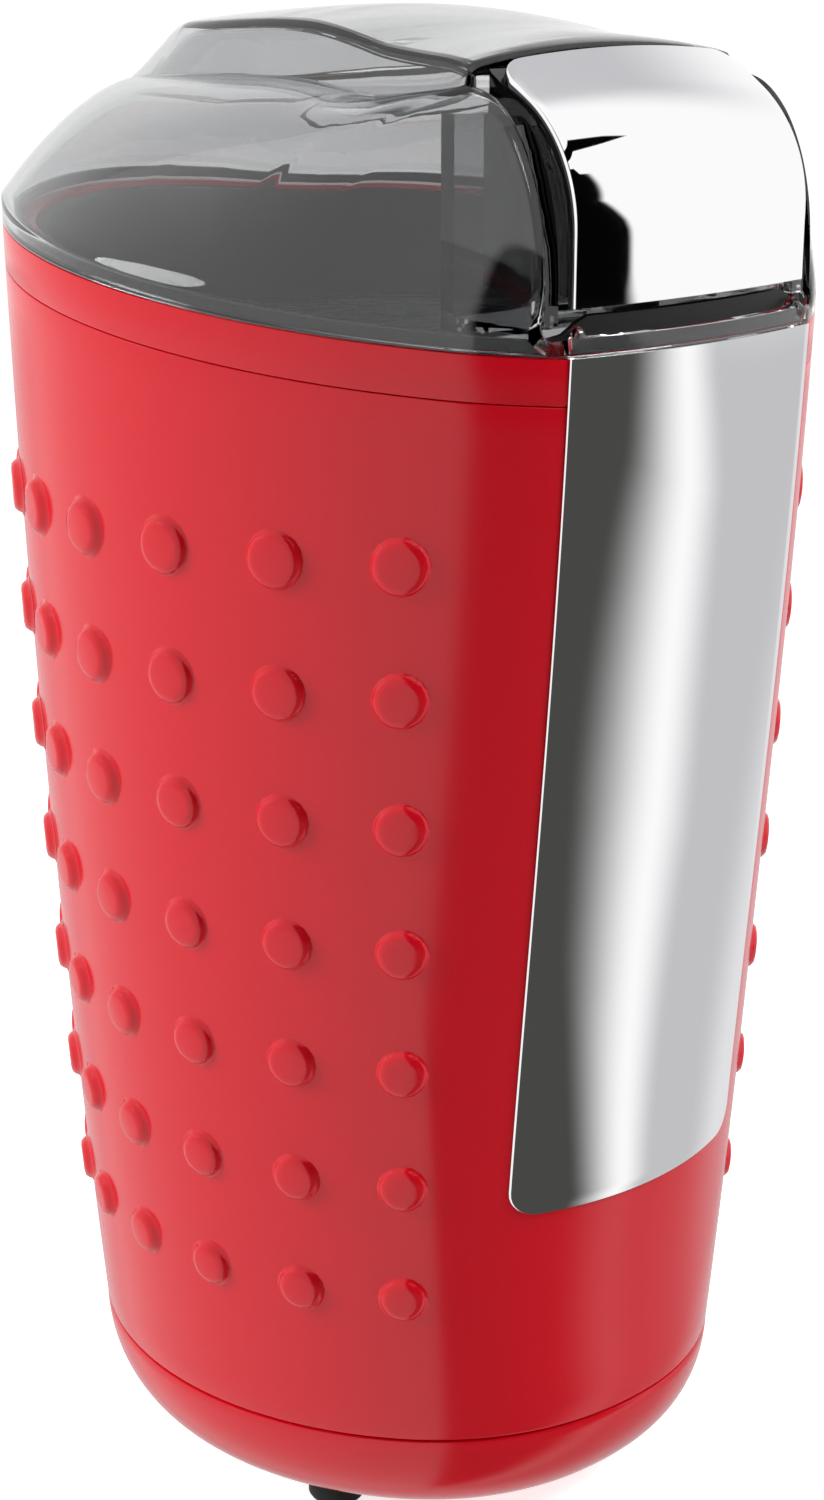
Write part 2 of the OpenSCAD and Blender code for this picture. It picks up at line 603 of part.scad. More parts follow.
// ---------- switch ----------
plate_y = -pin_front + 4.6;
case_y = plate_y - 7;
case_z = deck_z - 33.5;
case_h = 9.4;
case_mid = plate_y - 3.6;
pivot = [-lever_arm, case_z + 10.5];
press_x = pivot[0] + lever_arm / 2;
lever_swing = atan(button_travel / lever_arm);
shelf_z = deck_z - 17.5;
pin_r = 2.0;
guide_r = 3.16;
guide_rim = 4.0;
module at_pin() { translate([0, -pin_front, 0]) children(); }
module pin_guide() color(black) on_axis() at_pin() {
    ring(guide_rim, pin_r + 0.08, deck_z + seat, 1.0);
    ring(guide_r, pin_r + 0.08, deck_z - 6.5, 6.6);
}
module switch_bracket() color(steel) on_axis() difference() {
    union() {
        translate([-11, plate_y, case_z - 1]) cube([22, 1.0, deck_z - deck_t - case_z + 0.98]);
        translate([-11, plate_y - 10, deck_z - deck_t - 1.02]) cube([22, 11, 1.0]);
        translate([-11, plate_y - 10, shelf_z]) cube([22, 10.4, 1.0]);
    }
    at_pin() translate([0, 0, deck_z - 5]) cylinder(r = guide_r + 0.4, h = 5);
    at_pin() translate([0, 0, shelf_z - 1]) cylinder(r = pin_r - 0.1, h = 3);
    for (x = [-1, 1]) {
        at_pin() translate([x * 8, 0, deck_z - 5]) cylinder(r = 1.03, h = 4);
        translate([x * 5.5, plate_y + 3.4, case_z + 2.6]) rotate([90, 0, 0])
            cylinder(r = 1.03, h = 6);
    }
}
module microswitch_case() color(black) on_axis() difference() {
    union() {
        translate([-10.4, case_y, case_z]) cube([20.8, 7 - seat, case_h]);
        for (y = [case_y, plate_y - 1.24]) translate([pivot[0] - 1.4, y, case_z + 8])
            cube([2.8, 1.2, 3.8]);
    }
    translate([press_x, case_mid, case_z + 5]) cylinder(r = 1.3, h = 8);
    for (x = [-1, 1]) translate([x * 5.5, plate_y + 7, case_z + 2.6]) rotate([90, 0, 0])
        cylinder(r = 1 + hole_gap, h = 20);
    translate([pivot[0], plate_y + 7, pivot[1]]) rotate([90, 0, 0]) cylinder(r = 0.66, h = 20);
}
module switch_terminals() color(brass) on_axis() for (x = [-7.5, 0, 7.5])
    translate([x - 1.6, case_mid - 0.4, case_z - 7.4]) cube([3.2, 0.8, 7.4 - seat]);
module switch_screws() color(steel) on_axis() for (x = [-1, 1]) {
    translate([x * 5.5, case_y - seat, case_z + 2.6]) rotate([90, 0, 0])
        screw(1.0, 8.6, 1.9, 1.2);
    at_pin() translate([x * 8, 0, deck_z + seat]) screw(1.0, 5, 1.9, 1.0);
}
module switch_lever() color(steel) on_axis() translate([pivot[0], case_mid, pivot[1]])
    rotate([0, -lever_swing, 0]) union() {
        rotate([90, 0, 0]) cylinder(r = 0.6, h = 6.6, center = true);
        translate([-0.5, -1.9, -0.3]) cube([lever_arm + 8.5, 3.8, 0.6]);
    }
lever_under = pivot[1] + (press_x - 0.8 - pivot[0]) * tan(lever_swing) - 0.4;
module switch_plunger() color([0.75, 0.15, 0.12]) on_axis() translate([press_x, case_mid, 0]) {
    translate([0, 0, case_z + 6.2]) cylinder(r = 1.2, h = lever_under - case_z - 6.6);
    translate([0, 0, case_z + 8]) cylinder(r = 0.8, h = lever_under - case_z - 8);
}
lever_over = pivot[1] + (lever_arm + pin_r - 0.2) * tan(lever_swing) + 0.6;
module switch_pin() color([0.85, 0.85, 0.83]) on_axis() at_pin() {
    translate([0, 0, deck_z - 9]) cylinder(r = pin_r, h = 15);
    translate([0, 0, deck_z - 8.4]) cylinder(r = pin_r + 1, h = 1.6);
    translate([0, 0, lever_over]) cylinder(r = pin_r - 0.2, h = deck_z - 8.7 - lever_over);
}
module pin_spring() color(steel) on_axis() at_pin() translate([0, 0, shelf_z + 1.02])
    coil(pin_r + 0.45, 0.25, 4, deck_z - 8.42 - shelf_z - 1.02);
// a lead with eight flats, bent at each point of its path
function unit(v) = v / norm(v);
function lead_ring(pts, i, r) =
    let (n = len(pts) - 1, a = unit(pts[max(i, 1)] - pts[max(i, 1) - 1]),
        b = unit(pts[min(i + 1, n)] - pts[min(i, n - 1)]), d = unit(a + b),
        u = unit(cross(d, [0.3, 0.8, 0.2])), v = cross(d, u))
    [for (k = [0 : 7]) pts[i] + r * (cos(45 * k) * u + sin(45 * k) * v)];
module wire(pts, r) { skin([for (i = [0 : len(pts) - 1]) lead_ring(pts, i, r)], true); }
lead_r = 0.9;
coil_y = slot_y + 3.3;
module motor_leads() color([0.10, 0.12, 0.40]) on_axis() {
    x = 7.5;
    z = case_z - 7.4 - 0.2;
    end_y = coil_y + 0.6;
    out_y = gland_y - wall - 1.6;
    wire([[-x, case_mid, z], [-x, case_mid + 0.5, z - 5], [-6, -34, stack_top + 10],
        [-6, -24, stack_top + 5], [-6, -end_y, stack_top + 3]], lead_r);
    wire([[x, case_mid, z], [x, case_mid + 1.5, z - 6], [9, -36, stack_top - 2],
        [9, -33, 50], [16, -28, 22], [27, 0, 20.5], [14, 27, 21], [3, 30.5, gland_z - 1],
        [1.5, out_y, gland_z]], lead_r);
    wire([[-1.5, out_y, gland_z], [-6, 28, gland_z + 4], [-9, 27, 60], [-8, 23, stack_top],
        [-6, end_y, stack_top + 3]], lead_r);
}
fuse_r = 1.7;
module thermal_fuse() color([0.85, 0.80, 0.70]) on_axis()
    translate([-2, -coil_y - fuse_r - 0.1, stack_top + 2]) rotate([0, 90, 0])
        cylinder(r = fuse_r, h = 11);
gland_y = plan(180, taper(gland_z))[1];
gland_lean = atan((plan(180, taper(gland_z + 3))[1] - plan(180, taper(gland_z - 3))[1]) / 6);
module at_gland() {
    translate([0, gland_y, gland_z]) rotate([-90 - gland_lean, 0, 0]) children();
}
module cord_gland() color(black) on_axis() at_gland() difference() {
    union() {
        translate([0, 0, -wall - 2.4]) cylinder(r = 5 - hole_gap, h = wall + 3.2);
        translate([0, 0, -wall - 2.4]) cylinder(r = 6.2, h = 1.7);
        translate([0, 0, 0.05]) cylinder(r = 6.4, h = 1.5);
    }
    translate([0, 0, -wall - 4]) cylinder(r = 3.1, h = 12);
}

// ---------- lid ----------
arch_start = 1.0;
// side view of the arch: 0 at its foot, 1 at its crown
function arch(t) = let (a = 90 * t) [-arch_front + arch_deep * (1 - pow(cos(a), 0.9)),
    arch_start + (arch_top - arch_start) * sin(a)];
arch_end = -arch_front + arch_deep;
spine_rise = 5.6;
crown = 1.9;
// foot of the raised middle in plan: straight sides, then a round back end
function spine_wide(y) = spine_half - 0.1 - 0.06 * (y - arch_end);
function spine_end(y) = pow(clamp01(y / spine_back), 4);
function spine_w(y) = spine_wide(y) * pow(1 - spine_end(y), 0.25);
// height of the side shells along the raised middle, from crown of the arch to the back
function foot_at(y) = arch_top - 1.6 * sin(clamp01((y - arch_end) / 15) * 90) +
    1.2 * sin(clamp01((y + 22) / 17) * 90) - 2.3 * pow(clamp01((y + 5) / (spine_back + 5)), 1.6);
// how far the side wall of the raised middle leans in, and how high it is
function spine_lean(y) = mix(0.03, 0.22, pow(clamp01((y - arch_end) / (spine_back - 12 - arch_end)), 1.4));
function spine_high(y) = let (f = pow(sin(clamp01((y - arch_end) / 32) * 90), 0.55))
    0.1 + spine_rise * f + 1.3 * (1 - f) - 0.6 * clamp01(y / (spine_back - 7));
// place up the side wall of a point in plan: 0 at its foot, 1 at its top edge
function spine_up(x, y) = (1 - pow(pow(abs(x) / spine_wide(y), 4) + spine_end(y), 0.25)) / spine_lean(y);
function spine_round(q) = q < 0.8 ? q : q > 1.2 ? 1 : q - pow(q - 0.8, 2) / 0.8;
function spine_z(x, y) = let (r = spine_round(max(0, spine_up(x, y))))
    foot_at(y) + spine_high(y) * r + crown * (1 - pow(x / spine_w(y), 2)) * r;
function spine_x(q, y) = spine_wide(y) * pow(max(0, pow(1 - q * spine_lean(y), 4) - spine_end(y)), 0.25);
// inner edge of a side shell at an angle round the plan
side_y = [0, 0.18, 0.36, 0.53, 0.68, 0.80, 0.89, 0.95];
function shell_edge(i) = let (flat_z = -arch_front * rim_tilt + lid_edge - 0.1)
    i == 0 ? [spine_half, -arch_front, flat_z]
    : i < 6 ? let (a = arch((i - 1) / 5)) [spine_half - (i == 5 ? 1 : 0), a[0], a[1]]
    : i < 14 ? let (y = mix(arch_end, spine_back - 3.5, side_y[i - 6] + 0.04))
        [spine_w(y) - 1, y, foot_at(y)]
    : let (k = (18 - i) / 5, y0 = spine_back - 3.5, x = k * (spine_w(y0) - 1),
        y = spine_back * pow(1 - pow(x / spine_wide(y0), 4), 0.25) - 1) [x, y, foot_at(y)];
inside_step = [[0, 1, 0], [0, 1, 0], [0, 1, -0.3], [0, 0.8, -0.6], [0, 0.4, -0.9]];
function station(p) = search(abs(p), concat(half_angles, [180]))[0];
function edge_of(p, inner) =
    let (i = station(p), sx = p < 0 ? -1 : 1, o = wall_point(p, rim_z, inner ? 1.1 : 0.5))
    i < 5 ? [o[0], o[1], rim_z + rim_tilt * o[1] + lid_edge + 0.2]
    : let (e = shell_edge(i - 5),
        d = (inner ? lid_t : 0) * (i - 5 < 5 ? inside_step[i - 5] : [0, 0, -1]))
        [sx * (e[0] + d[0]), e[1] + d[1], rim_z + e[2] + d[2]];
function lid_point(p, t, inner) =
    let (o = wall_point(p, rim_z, inner ? lid_t : 0), e = edge_of(p, inner),
        oz = rim_z + rim_tilt * o[1] + lid_edge)
    [mix(o[0], e[0], t), mix(o[1], e[1], t), mix(oz, e[2], 1 - pow(1 - t, 1.9))];
function lid_level(t, inner) = [for (p = angles) lid_point(p, t, inner)];
module lid_shell() color(smoke) on_axis() union() {
    skin(concat([level(0.3, rim_z + seat, 1), level(0, rim_z + 0.3, 1)],
        [for (t = [0, 0.06, 0.14, 0.25, 0.4, 0.58, 0.8, 1]) lid_level(t, false)],
        [for (t = [1, 0.75, 0.5, 0.28, 0.12, 0]) lid_level(t, true)],
        [level(lid_t, rim_z + seat, 1)]), false);
    spine();
}
function spine_section(y) =
    let (w = spine_w(y), f = rim_z + foot_at(y) - 1.3, s = min(1, 0.79 * spine_up(0, y)),
        xs = concat([for (q = [0, 0.3, 0.6, 0.8, 0.9, 1, 1.1, 1.2]) spine_x(q * s, y)],
            [for (k = [0.8, 0.55, 0.28, 0]) k * spine_x(1.2 * s, y)]),
        zs = [for (x = xs) rim_z + spine_z(x, y)],
        half = concat([[w, f]], [for (i = [0 : 11]) [xs[i], zs[i]]]),
        t = lid_t * 0.9,
        low = [for (i = [12, 11, 10, 9, 2])
            let (a = half[i - 1], b = i == 12 ? [-half[11][0], half[11][1]] : half[i + 1],
                d = (b - a) / norm(b - a))
            [half[i][0] - t * d[1], max(f + 0.06 * i, half[i][1] + t * d[0])]],
        foot = [min(w - 1.2, max(w - 1.3 * lid_t, low[4][0] + 0.02)), f],
        inner = [[0, low[0][1]], low[1], low[2], low[3],
            [min(half[5][0] - t, low[4][0] - 0.2), max(f + 0.4, half[6][1] - t)],
            [min(low[4][0], foot[0]), low[4][1]], foot])
    concat([for (q = half) [q[0], y, q[1]]],
        [for (i = [11 : -1 : 0]) [-half[i][0], y, half[i][1]]],
        [for (i = [6 : -1 : 0]) [-inner[i][0], y, inner[i][1]]],
        [for (i = [1 : 6]) [inner[i][0], y, inner[i][1]]]);
spine_share = [0.997, 0.985, 0.965, 0.935, 0.9, 0.86, 0.81, 0.75, 0.67, 0.58, 0.49, 0.4, 0.31, 0.22,
    0.13, 0.06, 0.007];
module spine() skin([for (u = spine_share) spine_section(mix(arch_end, spine_back, u))], true);
module side_plate(pts, x, w) {
    translate([x, 0, 0]) rotate([90, 0, 90]) linear_extrude(height = w) polygon(pts);
}
chamber_back = arch_end + 4.7;
chamber_half = button_half + button_gap;
module button_housing() color(black) on_axis() {
    top = rim_z + foot_at(arch_end + 4) - lid_t - 1;
    inset = 1.8;
    sides = concat([[chamber_back, floor_z], [-arch_front + inset, floor_z]],
        [for (i = [0 : 8]) let (a = arch(i / 8))
            [a[0] + inset, min(top, rim_z + a[1] - (i < 2 ? 0 : 1.2))]], [[chamber_back, top]]);
    rim_w = spine_half - 0.4 - chamber_half;
    rim_low = rim_z - arch_front * rim_tilt + lid_edge + 0.5;
    rim_strip = concat([[-arch_front + 0.5, rim_low]],
        [for (i = [0 : 5]) arch(i * 0.12) + [0.5, rim_z]],
        [for (i = [5 : -1 : 0]) arch(i * 0.12) + [2.6, rim_z - 0.6]],
        [[-arch_front + 2.6, rim_low]]);
    difference() {
        union() {
            side_plate(sides, chamber_half, chamber_t);
            side_plate(sides, -chamber_half - chamber_t, chamber_t);
            side_plate(rim_strip, chamber_half, rim_w);
            side_plate(rim_strip, -chamber_half - rim_w, rim_w);
            translate([-chamber_half - 0.5, chamber_back - 1.4, floor_z])
                cube([2 * chamber_half + 1, 1.4, top - floor_z]);
            translate([-chamber_half - 0.5, -arch_front + inset, floor_z])
                cube([2 * chamber_half + 1, chamber_back + arch_front - inset, floor_t]);
            translate([-chamber_half - 0.5, -arch_front + inset, floor_z])
                cube([2 * chamber_half + 1, 1, 3]);
        }
        at_pin() translate([0, 0, floor_z - 1]) cylinder(r = 3.5, h = 4);
    }
}
// side view of the button's face, moved in by off: [y, height, outward y, outward z]
function face_point(t, off) =
    t <= 1 ? let (z = mix(face_low, face_bend, t)) [-face_front + off, z, -1, 0]
    : t <= 2 ? let (a = face_lean * (t - 1)) [-face_front + face_r - (face_r - off) * cos(a),
        face_bend + (face_r - off) * sin(a), -cos(a), sin(a)]
    : let (e = face_point(2, off), run = face_front - face_back - face_r * (1 - cos(face_lean)))
        [e[0] + run * (t - 2), e[1] + run * (t - 2) / tan(face_lean), e[2], e[3]];
face_steps = [3, 2.66, 2.33, 2, 1.8, 1.6, 1.4, 1.2, 1, 0.5, 0];
bulge = 1.4;
function face_row(x, off) = [for (t = face_steps)
    let (q = face_point(t, off), k = bulge * (1 - pow(x / button_half, 2)))
        [x, q[0] + q[2] * k, rim_z + q[1] + q[3] * k]];
function face_inner(x) = let (a = face_row(x, face_t)) [for (i = [len(a) - 1 : -1 : 0]) a[i]];
module press_button() color(chrome) on_axis()
    skin([for (i = [-8 : 8]) let (x = button_half * i / 8)
        concat(face_row(x, 0), face_inner(x))], true);
function carrier_line(off, low) = concat([for (t = face_steps) if (t > 0)
    let (q = face_point(t, off)) [q[0], rim_z + q[1]]],
    [[face_point(0, off)[0], rim_z + low]]);
carrier_back = arch_end - 0.5;
module button_carrier() color(black) on_axis() difference() {
    skirt = face_low + 1.6;
    top = face_point(3, face_t + 0.15)[1];
    union() {
        difference() {
            side_plate(concat(carrier_line(face_t + 0.15, skirt),
                [[carrier_back, rim_z + skirt], [carrier_back, rim_z + top + 0.4]]),
                -button_half + 0.2, 2 * button_half - 0.4);
            intersection() {
                side_plate(concat(carrier_line(face_t + 1.75, skirt - 1),
                    [[carrier_back + 3, rim_z + skirt - 1], [carrier_back + 3, rim_z + top]]),
                    -button_half + 1.8, 2 * button_half - 3.6);
                translate([-button_half, carrier_back - 21.6, rim_z + skirt - 2])
                    cube([2 * button_half, 20, top + 6]);
            }
        }
        at_pin() translate([0, 0, rim_z + 8]) cylinder(r = 4.4, h = top - 12.5);
        for (x = [-11, 11]) at_pin() translate([x, -0.5, rim_z + 6])
            cylinder(r = 3.4, h = top - 11);
    }
    at_pin() translate([0, 0, rim_z + 7]) cylinder(r = 2.5 + seat, h = 8);
    at_pin() translate([0, 0, rim_z + skirt - 2]) cylinder(r = 3 + hole_gap, h = 10 - skirt);
}
module button_plunger() color([0.85, 0.85, 0.83]) on_axis() at_pin() {
    translate([0, 0, rim_z + 2]) cylinder(r = 2.5, h = 12.5);
    translate([0, 0, rim_z - 4]) cylinder(r = 3.0, h = 11.95);
    translate([0, 0, deck_z + 6.1]) cylinder(r = pin_r - 0.1, h = rim_z - 3.5 - deck_z - 6.1);
}
module button_springs() color(steel) on_axis() for (x = [-11, 11])
    at_pin() translate([x, -0.5, floor_z + floor_t + seat])
        coil(2.6, 0.35, 5, rim_z + 6 - floor_z - floor_t - 2 * seat);

housing_shell();
top_collar();
front_trim_plate();
base_cover();
rubber_feet();
base_screws();
grinding_bowl();
bowl_gasket();
bowl_screws();
deck_tray();
chassis_posts();
upper_bearing_bracket();
upper_bush();
motor_mount_bushes();
post_screws();
stator_core();
field_coil_front();
field_coil_rear();
stator_bolts();
stator_nuts();
lower_bearing_bracket();
lower_bush();
spacer_sleeves();
brush_holder_front();
brush_holder_rear();
carbon_brush_front();
carbon_brush_rear();
brush_springs();
brush_caps();
shaft_seal();
pin_guide();
switch_bracket();
microswitch_case();
switch_terminals();
switch_screws();
cord_gland();
thermal_fuse();
motor_leads();
rotor_shaft();
armature_core();
armature_winding();
commutator();
cooling_fan();
thrust_washers();
blade_spacer();
blade();
blade_nut();
lid_shell();
button_housing();
button_springs();
press_button();
button_carrier();
button_plunger();
switch_pin();
pin_spring();
switch_lever();
switch_plunger();
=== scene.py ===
import math
import bmesh
import bpy
from mathutils import Matrix, Vector


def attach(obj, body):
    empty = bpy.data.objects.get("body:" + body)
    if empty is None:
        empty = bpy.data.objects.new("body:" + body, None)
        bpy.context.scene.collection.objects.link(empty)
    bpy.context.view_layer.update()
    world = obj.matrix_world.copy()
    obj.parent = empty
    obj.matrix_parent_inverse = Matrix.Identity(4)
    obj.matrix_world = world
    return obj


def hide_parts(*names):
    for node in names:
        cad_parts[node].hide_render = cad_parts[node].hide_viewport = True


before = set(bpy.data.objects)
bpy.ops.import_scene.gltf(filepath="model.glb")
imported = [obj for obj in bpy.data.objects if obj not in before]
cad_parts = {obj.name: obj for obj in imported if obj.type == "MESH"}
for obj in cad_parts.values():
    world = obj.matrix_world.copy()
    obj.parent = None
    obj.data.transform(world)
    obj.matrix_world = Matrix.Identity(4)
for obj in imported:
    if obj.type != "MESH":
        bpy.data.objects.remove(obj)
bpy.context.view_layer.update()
print("frame loaded:", len(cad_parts), "nodes")

mm = 0.001
axisY = 3.8                       # motor axis behind the middle of the footprint


# ---------- materials ----------
def hexColour(text):
    values = [int(text[i:i + 2], 16) / 255 for i in (1, 3, 5)]
    linear = [v / 12.92 if v <= 0.04045 else ((v + 0.055) / 1.055) ** 2.4 for v in values]
    return (*linear, 1.0)


def addNode(tree, kind, settings=None, links=None):
    node = tree.nodes.new(kind)
    for name, value in (settings or {}).items():
        if isinstance(name, int) or (name in node.inputs and not hasattr(type(node), name)):
            node.inputs[name].default_value = value
        else:
            setattr(node, name, value)
    for name, source in (links or {}).items():
        tree.links.new(source, node.inputs[name])
    return node


def startMaterial(name, colour, **shaderValues):
    material = bpy.data.materials.new(name)
    material.use_nodes = True
    tree = material.node_tree
    shader = tree.nodes["Principled BSDF"]
    shader.inputs["Base Color"].default_value = hexColour(colour)
    for key, value in shaderValues.items():
        shader.inputs[key.replace("_", " ")].default_value = value
    place = addNode(tree, "ShaderNodeTexCoord")
    return material, tree, shader, place.outputs["Object"]


def dressSurface(tree, shader, pattern, dark, light, roughness, relief, depthMm):
    # colour and gloss follow one pattern, and the relief follows another
    tone = addNode(tree, "ShaderNodeMix", {"data_type": "RGBA", 6: hexColour(dark),
                                           7: hexColour(light)}, {0: pattern})
    gloss = addNode(tree, "ShaderNodeMapRange", {"To Min": roughness[0], "To Max": roughness[1]},
                    {"Value": pattern})
    bump = addNode(tree, "ShaderNodeBump", {"Distance": depthMm * mm}, {"Height": relief})
    tree.links.new(tone.outputs[2], shader.inputs["Base Color"])
    tree.links.new(gloss.outputs["Result"], shader.inputs["Roughness"])
    tree.links.new(bump.outputs["Normal"], shader.inputs["Normal"])


def mouldedPlastic(name, dark, light, roughness, grainMm, depthMm, **more):
    material, tree, shader, place = startMaterial(name, dark, IOR=1.5, **more)
    grain = addNode(tree, "ShaderNodeTexNoise", {"Scale": 1 / (grainMm * mm), "Detail": 2.0},
                    {"Vector": place})
    dressSurface(tree, shader, grain.outputs[0], dark, light,
                 (roughness - 0.02, roughness + 0.02), grain.outputs[0], depthMm)
    return material


def machinedMetal(name, dark, light, roughness, grainMm, depthMm, stretch=(1, 1, 1)):
    material, tree, shader, place = startMaterial(name, light, Metallic=1.0)
    along = addNode(tree, "ShaderNodeMapping", {"Scale": stretch}, {"Vector": place})
    streaks = addNode(tree, "ShaderNodeTexNoise", {"Scale": 1 / (grainMm * mm), "Detail": 3.0},
                      {"Vector": along.outputs[0]})
    dressSurface(tree, shader, streaks.outputs[0], dark, light,
                 (roughness - 0.05, roughness + 0.06), streaks.outputs[0], depthMm)
    return material


def turnedMetal(name, dark, light, roughness, pitchMm, depthMm):
    # spun or turned on the motor axis: the marks run round it
    material, tree, shader, place = startMaterial(name, light, Metallic=1.0)
    centred = addNode(tree, "ShaderNodeVectorMath",
                      {"operation": "SUBTRACT", 1: (0, axisY * mm, 0)}, {0: place})
    parts = addNode(tree, "ShaderNodeSeparateXYZ", links={0: centred.outputs[0]})
    flat = addNode(tree, "ShaderNodeCombineXYZ",
                   links={"X": parts.outputs["X"], "Y": parts.outputs["Y"]})
    radius = addNode(tree, "ShaderNodeVectorMath", {"operation": "LENGTH"}, {0: flat.outputs[0]})
    rings = addNode(tree, "ShaderNodeCombineXYZ",
                    links={"X": radius.outputs["Value"], "Z": parts.outputs["Z"]})
    marks = addNode(tree, "ShaderNodeTexNoise", {"Scale": 1 / (pitchMm * mm), "Detail": 2.0},
                    {"Vector": rings.outputs[0]})
    dressSurface(tree, shader, marks.outputs[0], dark, light,
                 (roughness - 0.06, roughness + 0.08), marks.outputs[0], depthMm)
    return material


def layeredMetal(name, dark, light, pitchMm, axis):
    # wires laid side by side, or sheets in a stack
    material, tree, shader, place = startMaterial(name, light, Metallic=0.85)
    wave = addNode(tree, "ShaderNodeTexWave",
                   {"wave_type": "BANDS", "bands_direction": axis, "wave_profile": "SIN",
                    "Scale": 0.314 / (pitchMm * mm), "Distortion": 0.6, "Detail": 1.0},
                   {"Vector": place})
    dressSurface(tree, shader, wave.outputs["Fac"], dark, light, (0.28, 0.36),
                 wave.outputs["Fac"], pitchMm * 0.4)
    return material


def polishSurface(tree, shader, place, hazeMm, roughness, wavesMm, depthMm):
    # gloss varies finely, over the broad faint waviness of a moulding
    haze = addNode(tree, "ShaderNodeTexNoise", {"Scale": 1 / (hazeMm * mm)}, {"Vector": place})
    gloss = addNode(tree, "ShaderNodeMapRange", {"To Min": roughness[0], "To Max": roughness[1]},
                    {"Value": haze.outputs[0]})
    waves = addNode(tree, "ShaderNodeTexNoise", {"Scale": 1 / (wavesMm * mm), "Detail": 1.0},
                    {"Vector": place})
    bump = addNode(tree, "ShaderNodeBump", {"Distance": depthMm * mm},
                   {"Height": waves.outputs[0]})
    tree.links.new(gloss.outputs["Result"], shader.inputs["Roughness"])
    tree.links.new(bump.outputs["Normal"], shader.inputs["Normal"])


def polishedClear(name, colour, index, wavesMm, depthMm):
    material, tree, shader, place = startMaterial(name, colour, Transmission_Weight=1.0,
                                                  IOR=index)
    polishSurface(tree, shader, place, 6, (0.004, 0.016), wavesMm, depthMm)
    return material


def chromedPlastic(name, colour, wavesMm, depthMm):
    material, tree, shader, place = startMaterial(name, colour, Metallic=1.0)
    polishSurface(tree, shader, place, 0.8, (0.015, 0.045), wavesMm, depthMm)
    return material


def makeMaterials():
    made = {}
    # ABS with a soft-touch lacquer: dull satin red with a fine flour-like grain
    made["softRed"] = mouldedPlastic("softTouchLacquer", "#D6081D", "#DC0B22", 0.18, 0.35, 0.002)
    # ABS plated with copper, nickel and chromium
    made["chrome"] = chromedPlastic("chromedAbs", "#FAFAFB", 14.0, 0.012)
    # SAN, smoked and polished: clear grey with bright edges
    made["smoked"] = polishedClear("smokedSan", "#CFD0D1", 1.57, 30.0, 0.012)
    # ABS moulded against a polished tool: black with sharp highlights
    made["glossBlack"] = mouldedPlastic("polishedBlackAbs", "#0B0B0C", "#101012", 0.08, 9.0, 0.01,
                                        Coat_Weight=0.4)
    # ABS moulded against a spark-eroded tool: black with an even dull grain
    made["blackPlastic"] = mouldedPlastic("sparkedBlackAbs", "#121214", "#191A1C", 0.5, 0.45, 0.02)
    # nitrile rubber: dead dull black with a faint bloom
    made["rubber"] = mouldedPlastic("nitrileRubber", "#0E0E0F", "#1B1B1C", 0.78, 0.6, 0.03)
    # acetal, as moulded: milky white and slightly waxy
    made["whitePlastic"] = mouldedPlastic("naturalAcetal", "#D9D8D2", "#E4E3DE", 0.38, 0.7, 0.01)
    # nylon coloured in the mass
    made["redSlider"] = mouldedPlastic("redNylon", "#8E1D18", "#A0241D", 0.4, 0.7, 0.01)
    # glazed glass-fibre sleeve
    made["fuseBody"] = mouldedPlastic("glazedSleeve", "#C9C0A6", "#DAD2BA", 0.3, 1.2, 0.02)
    # PVC insulation, slightly greasy
    made["leadSkin"] = mouldedPlastic("pvcInsulation", "#14204F", "#1B2A63", 0.42, 1.0, 0.01)
    # pressed graphite: dark grey with a metallic bloom
    made["carbon"] = mouldedPlastic("pressedGraphite", "#1E1E20", "#2B2B2E", 0.55, 0.3, 0.02,
                                    Metallic=0.3)
    # 18/8 stainless, spun: fine rings round the bowl
    made["bowlSteel"] = turnedMetal("spunStainless", "#A9AAAC", "#D3D4D6", 0.26, 0.35, 0.006)
    # stainless strip, ground along its length
    made["bladeSteel"] = machinedMetal("groundStainless", "#B3B4B6", "#DCDDDF", 0.2, 0.5, 0.006,
                                       (0.12, 1, 1))
    # carbon steel shaft, centreless ground
    made["shaftSteel"] = turnedMetal("groundShaft", "#9FA0A3", "#C9CACC", 0.24, 0.5, 0.004)
    # mild steel with bright zinc
    made["screwSteel"] = machinedMetal("zincPlate", "#A7A9AC", "#CDCFD2", 0.34, 1.2, 0.01)
    # hard drawn spring wire
    made["springSteel"] = machinedMetal("drawnWire", "#8E9093", "#B4B6B9", 0.3, 0.4, 0.004)
    # galvanised sheet with its broad dull spangle
    made["sheetSteel"] = machinedMetal("galvanisedSheet", "#A2A5A8", "#C6C9CC", 0.4, 4.0, 0.02)
    # oil-filled sintered bronze: dull and porous
    made["bronze"] = turnedMetal("sinteredBronze", "#8A6338", "#A97F4D", 0.45, 0.4, 0.02)
    # pressed brass strip
    made["brass"] = machinedMetal("pressedBrass", "#A88446", "#C9A560", 0.3, 1.5, 0.01)
    # turned copper bars of the commutator
    made["copperBar"] = turnedMetal("turnedCopper", "#A1623F", "#C98258", 0.28, 0.3, 0.006)
    # enamelled copper wire, about half a millimetre thick
    made["coilWire"] = layeredMetal("enamelledWire", "#5E2A12", "#B0602F", 0.5, "Z")
    made["rotorWire"] = layeredMetal("enamelledWireEnds", "#5E2A12", "#B0602F", 0.5, "X")
    # varnished iron sheets in a stack, half a millimetre each
    made["iron"] = layeredMetal("varnishedLaminations", "#3B3D40", "#7E8185", 0.5, "Z")
    return made


